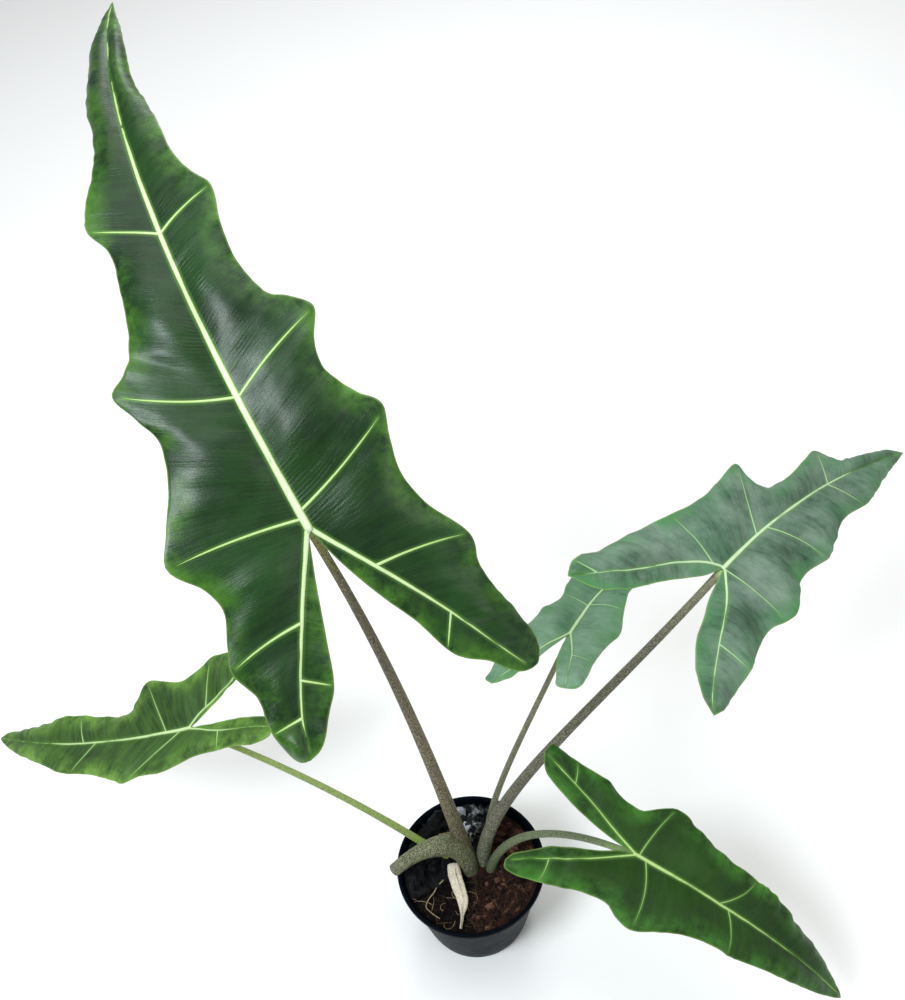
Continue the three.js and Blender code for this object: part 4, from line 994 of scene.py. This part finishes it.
def add_dried_sheath(paint, rng):
    """A flat strip of dry, fibrous skin, with split threads along it."""
    path = through(DRIED_SHEATH, 70)
    share = np.linspace(0, 1, len(path))
    radii = spread(DRIED_SHEATH_RADII, len(path)) * (1 + 0.08 * roughness_of(path, 160, 9))
    path = path + np.column_stack([0 * share, 0 * share, 0.0008 * np.sin(26 * share)])

    def slit(t, angles):
        """The long split in the strip's right half, deepest in its middle."""
        reach = np.clip(np.sin(np.pi * np.clip((t - 0.08) / 0.55, 0, 1)) * 1.6, 0, 1)
        return reach * np.exp(-((angles - 1.15 - 0.25 * t) / 0.1) ** 2)

    def ridged(t, angles):
        ridges = 0.06 * np.cos(9 * angles + 3 * t) + 0.04 * np.cos(17 * angles - 5 * t)
        return 1 + ridges - 0.75 * slit(t, angles)

    heap = Heap()
    sides = 72
    points, faces, along_share = tube(path, radii, sides, 0.4, ridged)
    turns = np.append(np.tile(np.linspace(0, 2 * np.pi, sides, endpoint=False), len(path)), [0, 0])
    # The strip is painted darker along the slit: painted shade in the split.
    heap.add(points, faces, shade=0.85 - 1.1 * slit(along_share, turns))
    for _ in range(34):
        start, end = sorted(rng.uniform(0, 1, 2))
        end = min(1, end + 0.25)
        t = np.linspace(start, end, 14)
        middle = np.stack([np.interp(t, share, path[:, k]) for k in range(3)], -1)
        width = np.interp(t, share, radii)
        drift = rng.uniform(-0.85, 0.85) + rng.uniform(-0.5, 0.5) * (t - start)
        free = np.clip(t - rng.uniform(0.5, 1.1), 0, 1) * 0.01
        thread = middle + np.column_stack([drift * width, 0 * t, 0.3 * width * np.sqrt(1.05 - np.clip(
            np.abs(drift), 0, 1) ** 2) + free * rng.uniform(0, 1)])
        points, faces, _ = tube(thread, rng.uniform(0.00012, 0.00025), 5)
        heap.add(points, faces, shade=rng.uniform(0.45, 1.1))
    add_piece("dry_sheath", heap.points, heap.faces, [paint], ["dried_sheath"],
              heap.attributes)


def add_roots(paint, rng):
    """The thin root over the mix, with finer ones branching from it and curling in front."""
    heap = Heap()
    path = through(SURFACE_ROOT, 60)
    wobble = np.stack([roughness_of(path, 120, k) for k in (1, 2, 3)], -1) * (0.0012, 0.0012, 0.0004)
    points, faces, _ = tube(path + wobble, np.linspace(*SURFACE_ROOT_RADII, 60), 8)
    heap.add(points, faces, shade=0.5)
    for _ in range(9):
        angle = math.radians(rng.uniform(215, 290))
        reach = rng.uniform(0.018, 0.052)
        start = np.array([reach * math.cos(angle), reach * math.sin(angle)])
        thread = curly(start, rng, rng.uniform(0.012, 0.034), turn=1.1, low=0.0006, high=0.0018)
        points, faces, _ = tube(thread, np.linspace(rng.uniform(0.00018, 0.0003), 0.0001, len(thread)), 5)
        heap.add(points, faces, shade=rng.uniform(0.1, 0.75))
    add_piece("fine_roots", heap.points, heap.faces, [paint], ["surface_root"], heap.attributes)


# Planting mix

def bed_height(x, y):
    """Height of the mix: a rough bed, higher under the charcoal and the husk than at the front left."""
    angle = math.degrees(math.atan2(y, x))
    turned = (angle - SOIL_SECTOR[0]) % 360
    width = SOIL_SECTOR[1] - SOIL_SECTOR[0]
    inside = min(turned, width - turned) / 10 if turned < width else 0.0
    level = BED_TOP + (MIX_TOP + 0.0004 - BED_TOP) * min(1.0, max(0.0, inside))
    if CHARCOAL_SECTOR[0] <= angle % 360 <= CHARCOAL_SECTOR[1]:
        level = CHARCOAL_TOP
    coarse = noise.noise(Vector((x * 160, y * 160, 1))) * 0.0008
    fine = noise.noise(Vector((x * 420, y * 420, 2))) * 0.0005
    return level + (coarse + fine)


def curly(start, rng, length, turn=1.5, low=0.0004, high=0.002, count=14):
    """A thread that lies on the mix and curls at random, inside the pot."""
    heading = rng.uniform(0, 2 * np.pi)
    curl = rng.uniform(-turn, turn)
    sway = rng.uniform(-turn, turn)
    place = np.array(start, float)
    points = []
    lift = rng.uniform(low, high)
    for i in range(count):
        t = i / (count - 1)
        height = bed_height(*place) + lift * (0.4 + math.sin(np.pi * t))
        points.append((place[0], place[1], height))
        step = length / count * np.array([math.cos(heading), math.sin(heading)])
        if np.linalg.norm(place + step) > inside_radius(BED_TOP) - 0.002:
            heading += 2.0
            step = length / count * np.array([math.cos(heading), math.sin(heading)])
        place = place + step
        heading += (curl + sway * math.cos(5 * t)) * 4 / count
    return np.array(points)


def wall_radius(z):
    return POT_BASE_RADIUS + (POT_NECK_RADIUS - POT_BASE_RADIUS) * z / POT_NECK_HEIGHT


def inside_radius(z):
    return wall_radius(z) - POT_WALL


def draws(seed):
    """A seeded draw between 0 and 1, the same as in the part's source."""
    state = seed
    while True:
        state = (state * 1664525 + 1013904223) % 4294967296
        yield state / 4294967296


def lump_corners(draw, centre, sizes, corners):
    turn = (Matrix.Rotation(next(draw) * 0.7, 3, "X") @ Matrix.Rotation(next(draw) * 0.7, 3, "Y")
            @ Matrix.Rotation(next(draw) * 6.3, 3, "Z"))
    points = []
    for k in range(corners):
        z = 2 * (k + 0.5) / corners - 1
        angle = k * 2.4 + next(draw) * 0.8
        ring = math.sqrt(1 - z * z)
        size = 0.78 + 0.3 * next(draw)
        corner = (ring * math.cos(angle) * sizes[0], ring * math.sin(angle) * sizes[1], z * sizes[2])
        points.append(turn @ (Vector(corner) * size) + Vector(centre))
    return points


def lump_mesh(corners, rounding, cuts, roughness, seed):
    """The hull of a lump's corners, with worn edges and a rough skin."""
    shape = bmesh.new()
    for corner in corners:
        shape.verts.new(corner)
    bmesh.ops.convex_hull(shape, input=shape.verts)
    loose = [v for v in shape.verts if not v.link_faces]
    bmesh.ops.delete(shape, geom=loose, context="VERTS")
    if rounding:
        bmesh.ops.bevel(shape, geom=list(shape.edges), offset=rounding, segments=1, affect="EDGES",
                        clamp_overlap=True)
        bmesh.ops.remove_doubles(shape, verts=shape.verts, dist=0.00005)
    if cuts:
        bmesh.ops.triangulate(shape, faces=shape.faces)
        bmesh.ops.subdivide_edges(shape, edges=shape.edges, cuts=cuts, use_grid_fill=True)
    bmesh.ops.recalc_face_normals(shape, faces=shape.faces)
    shape.normal_update()
    shift = Vector((seed * 1.7, seed * 0.9, seed * 2.3))
    moved = []
    for v in shape.verts:
        grain = noise.noise(v.co * 330 + shift) + 0.5 * noise.noise(v.co * 900 + shift)
        moved.append(v.co + v.normal * grain * roughness)
    for v, place in zip(shape.verts, moved):
        v.co = place
    shape.verts.index_update()
    points = [tuple(v.co) for v in shape.verts]
    faces = [[v.index for v in f.verts] for f in shape.faces]
    shape.free()
    return points, faces


def scatter(seed, count, sector, near, far, size, shape, corners, height):
    """The corners of lumps at the same seeded places as in the part's source."""
    draw = draws(seed)
    lumps = []
    for k in range(count):
        reach = math.sqrt(near ** 2 + (far ** 2 - near ** 2) * next(draw))
        big = size[0] + (size[1] - size[0]) * next(draw)
        margin = math.degrees(math.asin(min(0.9, big * 1.1 / reach)))
        share = (k + next(draw)) / count
        angle = math.radians(sector[0] + margin + (sector[1] - sector[0] - 2 * margin) * share)
        centre = (reach * math.cos(angle), reach * math.sin(angle), height)
        lumps.append(lump_corners(draw, centre, [v * big for v in shape], corners))
    return lumps


def add_bed(heap, sector, shade, depth=0.006):
    """A closed wedge of the mix's top layer, rough above."""
    rings, spokes = 34, max(24, int((sector[1] - sector[0]) / 2))
    angles = np.radians(np.linspace(*sector, spokes))
    reach = np.linspace(0.0005, inside_radius(BED_TOP) - 0.0006, rings)
    top = [(r * math.cos(a), r * math.sin(a)) for a in angles for r in reach]
    points = [(x, y, bed_height(x, y)) for x, y in top]
    points += [(x * 0.99, y * 0.99, MIX_TOP - depth) for x, y in top]
    count = len(top)
    faces = []
    for i in range(spokes - 1):
        for j in range(rings - 1):
            a = i * rings + j
            quad = (a, a + 1, a + rings + 1, a + rings)
            faces.append(quad)
            faces.append(tuple(v + count for v in reversed(quad)))
    border = ([i * rings + rings - 1 for i in range(spokes)]
              + [(spokes - 1) * rings + j for j in range(rings - 2, -1, -1)]
              + [i * rings for i in range(spokes - 2, -1, -1)] + [j for j in range(1, rings - 1)])
    for a, b in zip(border, border[1:] + border[:1]):
        faces.append((b, a, a + count, b + count))
    heap.add(points, faces, shade=shade)


def sprinkle(heap, rng, count, sector, size, shape, shades, near=0.012, far=0.058, lift=0.0):
    """Small crumbs over a sector of the bed."""
    for k in range(count):
        angle = math.radians(rng.uniform(*sector))
        reach = math.sqrt(rng.uniform(near ** 2, far ** 2))
        big = rng.uniform(*size)
        x, y = reach * math.cos(angle), reach * math.sin(angle)
        centre = (x, y, bed_height(x, y) + lift + 0.1 * big)
        draw = iter(rng.uniform(0, 1, 60))
        corners = lump_corners(draw, centre, [v * big * rng.uniform(0.7, 1.3) for v in shape], 9)
        points, faces = lump_mesh(corners, 0, 0, 0, k)
        heap.add(points, faces, shade=rng.uniform(*shades))


def add_fibres(heap, rng, count, sector, length, radius, shades, turn=1.2):
    for _ in range(count):
        angle = math.radians(rng.uniform(*sector))
        reach = math.sqrt(rng.uniform(0.012 ** 2, 0.057 ** 2))
        start = (reach * math.cos(angle), reach * math.sin(angle))
        thread = curly(start, rng, rng.uniform(*length), turn=turn, high=0.003, count=10)
        points, faces, _ = tube(thread, rng.uniform(*radius), 4, rng.uniform(0.4, 1.0))
        heap.add(points, faces, shade=rng.uniform(*shades))


def add_charcoal(paint, rng):
    heap = Heap()
    add_bed(heap, CHARCOAL_SECTOR, 0.1)
    lumps = scatter(**LUMPS["charcoal"])
    pile = scatter(**LUMPS["pile"]) + scatter(**LUMPS["pile_top"])
    for k, corners in enumerate(lumps + pile):
        points, faces = lump_mesh(corners, 0.0005, 3, 0.0003, k)
        middle = np.mean(points, axis=0)
        lightness = max(0.0, min(1.0, (middle[0] + 0.028) / 0.02))
        heap.add(points, faces, shade=0.08 + lightness * rng.uniform(0.4, 1.2) if k < len(lumps) else 0.06)
    sprinkle(heap, rng, 120, CHARCOAL_SECTOR, (0.002, 0.006), (1, 0.7, 0.35), (0.0, 0.6))
    sprinkle(heap, rng, 22, PALE_SECTOR, (0.0035, 0.0075), (1, 0.7, 0.3), (0.1, 0.8), near=0.02, far=0.055,
             lift=0.004)
    add_piece("charcoal_lumps", heap.points, heap.faces, [paint], ["charcoal"], heap.attributes,
              smooth=False)


def add_husk(paints, rng):
    heap = Heap()
    add_bed(heap, HUSK_SECTOR, 0.25)
    for k, corners in enumerate(scatter(**LUMPS["husk"]) + scatter(**LUMPS["chunks"])):
        points, faces = lump_mesh(corners, 0.0004, 2, 0.0004, k + 50)
        heap.add(points, faces, shade=rng.uniform(0.25, 0.9))
    sprinkle(heap, rng, 240, HUSK_SECTOR, (0.0012, 0.0045), (1, 0.45, 0.3), (0.0, 0.9))
    crumbs = len(heap.faces)
    add_fibres(heap, rng, 230, HUSK_SECTOR, (0.004, 0.014), (0.0001, 0.00022), (-0.2, 0.6), turn=0.35)
    face_paints = [0] * crumbs + [1] * (len(heap.faces) - crumbs)
    add_piece("husk_chips", heap.points, heap.faces, paints, ["husk"], heap.attributes, face_paints,
              smooth=False)


def add_soil(paints, rng):
    """The mix below everything, and its bare top at the front left."""
    heap = Heap()
    sides = 96
    profile = [(0.0, POT_FLOOR + 0.0003), (inside_radius(POT_FLOOR) - 0.0004, POT_FLOOR + 0.0003),
               (inside_radius(0.082) - 0.0003, 0.082), (0.0, 0.082)]
    points, faces = lathe(profile, sides)
    heap.add(points, faces, shade=0.2)
    add_bed(heap, (SOIL_SECTOR[0] - 3, SOIL_SECTOR[1] + 3), 0.2, 0.0025)
    for k, corners in enumerate(scatter(**LUMPS["crumbs"])):
        points, faces = lump_mesh(corners, 0.0003, 2, 0.0003, k + 90)
        heap.add(points, faces, shade=rng.uniform(0.1, 0.7))
    sprinkle(heap, rng, 200, (202, 270), (0.0008, 0.0026), (1, 0.8, 0.6), (0.0, 0.8), far=0.059)
    sprinkle(heap, rng, 120, (0, 360), (0.0008, 0.002), (1, 0.8, 0.6), (0.0, 0.5), near=0.008, far=0.03)
    crumbs = len(heap.faces)
    add_fibres(heap, rng, 70, (200, 275), (0.006, 0.02), (0.0001, 0.00022), (-0.2, 0.6), turn=0.8)
    face_paints = [0] * crumbs + [1] * (len(heap.faces) - crumbs)
    add_piece("soil", heap.points, heap.faces, paints, ["growing_mix"], heap.attributes,
              face_paints, smooth=False)


# Pot

def lathe(profile, sides):
    """A closed solid of revolution; the profile starts and ends on the axis."""
    rings = []
    for k in range(sides):
        angle = 2 * math.pi * k / sides
        rings.append([(r * math.cos(angle), r * math.sin(angle), z) for r, z in profile[1:-1]])
    inner = len(profile) - 2
    points = [p for ring in rings for p in ring] + [(0, 0, profile[0][1]), (0, 0, profile[-1][1])]
    bottom, top = len(points) - 2, len(points) - 1
    faces = []
    for k in range(sides):
        a, b = k * inner, ((k + 1) % sides) * inner
        for j in range(inner - 1):
            faces.append((a + j, b + j, b + j + 1, a + j + 1))
        faces.append((bottom, b, a))
        faces.append((top, a + inner - 1, b + inner - 1))
    return points, faces


def arc(centre, radius, start, end, count):
    angles = [math.radians(start + (end - start) * k / (count - 1)) for k in range(count)]
    return [(centre[0] + radius * math.cos(a), centre[1] + radius * math.sin(a)) for a in angles]


def add_pot(paint):
    lip, neck = POT_LIP_RADIUS, POT_NECK_RADIUS
    bead = 0.0013
    foot = POT_BASE_RADIUS
    profile = [(0.0, 0.0), (foot - 0.0012, 0.0), *arc((foot - 0.001, 0.001), 0.001, -80, 0, 5),
               (wall_radius(0.007), 0.007), (wall_radius(0.0075) + 0.0003, 0.0075),
               (wall_radius(0.008) + 0.0005, 0.0085)]
    for k in range(1, 9):
        z = 0.0085 + (POT_NECK_HEIGHT - 0.0085) * k / 9
        profile.append((wall_radius(z) + 0.0005 * (1 - k / 9), z))
    profile += [(neck, POT_NECK_HEIGHT - 0.0006), (neck + 0.0004, POT_NECK_HEIGHT)]
    profile += arc((lip - bead, POT_NECK_HEIGHT + 0.0004 + bead), bead, -90, 0, 6)
    profile += arc((lip - bead, POT_HEIGHT - bead), bead, 0, 90, 6)
    rim = inside_radius(POT_HEIGHT) + 0.0008
    profile += [(rim + 0.0006, POT_HEIGHT), (rim, POT_HEIGHT - 0.0002), (inside_radius(0.096), 0.096)]
    profile += [(inside_radius(z), z) for z in (0.09, 0.07, 0.04, 0.015)]
    profile += [(inside_radius(POT_FLOOR) - 0.0002, POT_FLOOR), (0.0, POT_FLOOR)]
    points, faces = lathe(profile, POT_SIDES)
    pot = add_piece("nursery_pot", points, faces, [paint], ["pot"])
    heap = Heap()
    for k in range(DRAIN_HOLES):
        angle = 2 * math.pi * k / DRAIN_HOLES
        x, y = DRAIN_RING_RADIUS * math.cos(angle), DRAIN_RING_RADIUS * math.sin(angle)
        drill = [(0.0, -0.004), (DRAIN_HOLE_RADIUS, -0.004), (DRAIN_HOLE_RADIUS, 0.006), (0.0, 0.006)]
        around, sides = lathe(drill, 32)
        heap.add([(p[0] + x, p[1] + y, p[2]) for p in around], sides)
    drills = bpy.data.meshes.new("drills")
    drills.from_pydata(heap.points, [], heap.faces)
    cutter = bpy.data.objects.new("drills", drills)
    bpy.context.scene.collection.objects.link(cutter)
    cut = pot.modifiers.new("drain_holes", "BOOLEAN")
    cut.object = cutter
    cut.operation = "DIFFERENCE"
    bpy.context.view_layer.update()
    shaped = bpy.data.meshes.new_from_object(pot.evaluated_get(bpy.context.evaluated_depsgraph_get()))
    pot.modifiers.clear()
    pot.data = shaped
    bpy.data.objects.remove(cutter)


# Studio

def add_floor():
    bpy.ops.mesh.primitive_plane_add(size=30)
    floor = bpy.context.object
    floor.name = "floor"
    floor.data.materials.append(floor_paint())


def add_light(name, place, target, size, power, colour):
    light = bpy.data.lights.new(name, "AREA")
    light.shape = "DISK"
    light.size = size
    light.energy = power
    light.color = colour
    lamp = bpy.data.objects.new(name, light)
    lamp.location = place
    lamp.rotation_euler = (Vector(target) - Vector(place)).to_track_quat("-Z", "Y").to_euler()
    bpy.context.scene.collection.objects.link(lamp)


def add_lights():
    add_light("key", (-0.72, -0.66, 1.76), (-0.05, 0.1, 0.45), 0.65, 25, (0.88, 0.95, 1.0))
    add_light("overhead", (0.1, 0.7, 2.4), (0.0, 0.0, 0.1), 2.2, 24, (1.0, 0.995, 0.98))
    add_light("fill", (1.5, -0.8, 1.5), (0.0, 0.1, 0.2), 1.4, 9, (1.0, 0.98, 0.95))
    add_light("back", (0.3, 1.8, 1.5), (0.1, 0.1, 0.3), 1.0, 10, (0.95, 0.98, 1.0))
    world = bpy.data.worlds.new("studio")
    world.use_nodes = True
    backdrop = world.node_tree.nodes["Background"]
    backdrop.inputs["Color"].default_value = (0.97, 0.985, 1.0, 1.0)
    backdrop.inputs["Strength"].default_value = 0.34
    bpy.context.scene.world = world


def add_camera():
    pitch, roll = math.radians(CAMERA_PITCH), math.radians(CAMERA_ROLL)
    level = Vector((1, 0, 0))
    upright = Vector((0, math.sin(pitch), math.cos(pitch)))
    back = Vector((0, -math.cos(pitch), math.sin(pitch)))
    right = level * math.cos(roll) + upright * math.sin(roll)
    up = upright * math.cos(roll) - level * math.sin(roll)
    data = bpy.data.cameras.new("camera")
    data.lens = CAMERA_LENS
    data.clip_start = 0.02
    camera = bpy.data.objects.new("camera", data)
    camera.matrix_world = Matrix.Translation(CAMERA_PLACE) @ Matrix((right, up, back)).transposed().to_4x4()
    bpy.context.scene.collection.objects.link(camera)
    bpy.context.scene.camera = camera


# Assembly

# Each blade's pale sheen colour and its share are painted sheen, standing in for the reflection of the
# lights.
BLADES = {
    "a": {"deep": "#0a2607", "fresh": "#193f10", "painted_sheen": "#2a553a", "painted_sheen_share": 0.1, "margin": "#457422",
          "gloss": 1.0, "dark": "#061805", "streaky": 0.5, "slot": "blade_dark"},
    "b": {"deep": "#27452f", "fresh": "#476a51", "painted_sheen": "#a3b6a6", "painted_sheen_share": 0.45, "margin": "#47804c",
          "gloss": 0.35, "dark": "#122c1c", "streaky": 0.95, "slot": "blade_grey"},
    "c": {"deep": "#3d6a48", "fresh": "#648e6c", "painted_sheen": "#a5c2af", "painted_sheen_share": 0.5, "margin": "#558a58",
          "gloss": 0.25, "dark": "#2b5e3c", "streaky": 0.7, "slot": "blade_grey"},
    "d": {"deep": "#142f08", "fresh": "#21430d", "painted_sheen": "#3f7034", "painted_sheen_share": 0.14, "margin": "#41782a",
          "gloss": 0.3, "dark": "#13340b", "streaky": 0.7, "slot": "blade_green"},
    "e": {"deep": "#263f1a", "fresh": "#436528", "painted_sheen": "#5a8050", "painted_sheen_share": 0.18, "margin": "#74a044",
          "gloss": 0.3, "dark": "#15290f", "streaky": 1.0, "slot": "blade_green"},
}
RIBS = {"a": ("#d6e4bc", "#a0c36a"), "b": ("#c3d8b0", "#84ad7c"), "c": ("#c4e0b0", "#8fbb86"),
        "d": ("#b4d084", "#6f9f48"), "e": ("#c6daa4", "#8cb268")}
STALK_LOOKS = {
    "a": ("#6c6a4c", "#7b6f56", "#8d8c45", "#352d20", 1.0, "stalk_brown"),
    "b": ("#7f8b72", "#6c695c", "#848266", "#37332b", 0.9, "stalk_brown"),
    "c": ("#6f7b5c", "#7f8068", "#869a6c", "#494a3a", 0.6, "stalk_green"),
    "d": ("#5f6c50", "#6f7b5c", "#8fae6a", "#414b35", 0.6, "stalk_green"),
    "e": ("#8da047", "#8ea35a", "#9cb873", "#5d7042", 0.3, "stalk_green"),
}


def build():
    rng = np.random.default_rng(7)
    for seed, (name, look) in enumerate(BLADES.items()):
        leaf = closed(LEAVES[name])
        colours = {k: v for k, v in look.items() if k != "slot"}
        upper = blade_paint(f"leaf_{name}_upper", **colours)
        lower = underside_paint(f"leaf_{name}_lower", look["fresh"], "#6f8f62")
        lines, top = add_blade(name, leaf, 10 * seed + 3, [upper, lower])
        add_ribs(name, leaf, lines, top, rib_paint(f"rib_{name}", *RIBS[name]))
    for name, (foot, middle, neck, speckle, density, slot) in STALK_LOOKS.items():
        add_stalk(name, stalk_paint(f"stalk_{name}", foot, middle, neck, speckle, density))
    pruned = stalk_paint("stalk_pruned", "#626b55", "#747a55", "#83806a", "#33382a", 1.1, joined=False)
    cut = crumb_paint("cut_end", "#5d5436", "#a59a6c", "#c9c39a", 0.0002)
    add_pruned_stalk(pruned, cut)
    add_cataphyll(stalk_paint("scale_leaf", "#6a6c42", "#75703c", "#857a48", "#45432a", 0.5, joined=False))
    add_dried_sheath(fibre_paint("dry_sheath", "#4d3a25", "#eadfc8"), rng)
    add_roots(fibre_paint("fine_roots", "#6d5438", "#c9b593"), rng)
    add_charcoal(crumb_paint("charcoal", "#030304", "#1d1f22", "#a6a9ad", 0.0005, 0.05), rng)
    husk_fibre = fibre_paint("husk_fibre", "#1a0f0a", "#866a4c")
    add_husk([crumb_paint("husk", "#0b0605", "#341d15", "#735341", 0.0005), husk_fibre], rng)
    soil_fibre = fibre_paint("soil_fibre", "#0c0604", "#4f3826")
    add_soil([crumb_paint("soil", "#030201", "#110a07", "#38241a", 0.0005), soil_fibre], rng)
    add_pot(pot_paint())
    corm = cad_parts["corm"]
    corm.data.materials.clear()
    corm.data.materials.append(crumb_paint("corm", "#3b2919", "#6d4c35", "#8f7150", 0.0005))
    add_floor()
    add_lights()
    add_camera()
    bpy.context.scene.view_settings.view_transform = "Standard"


build()
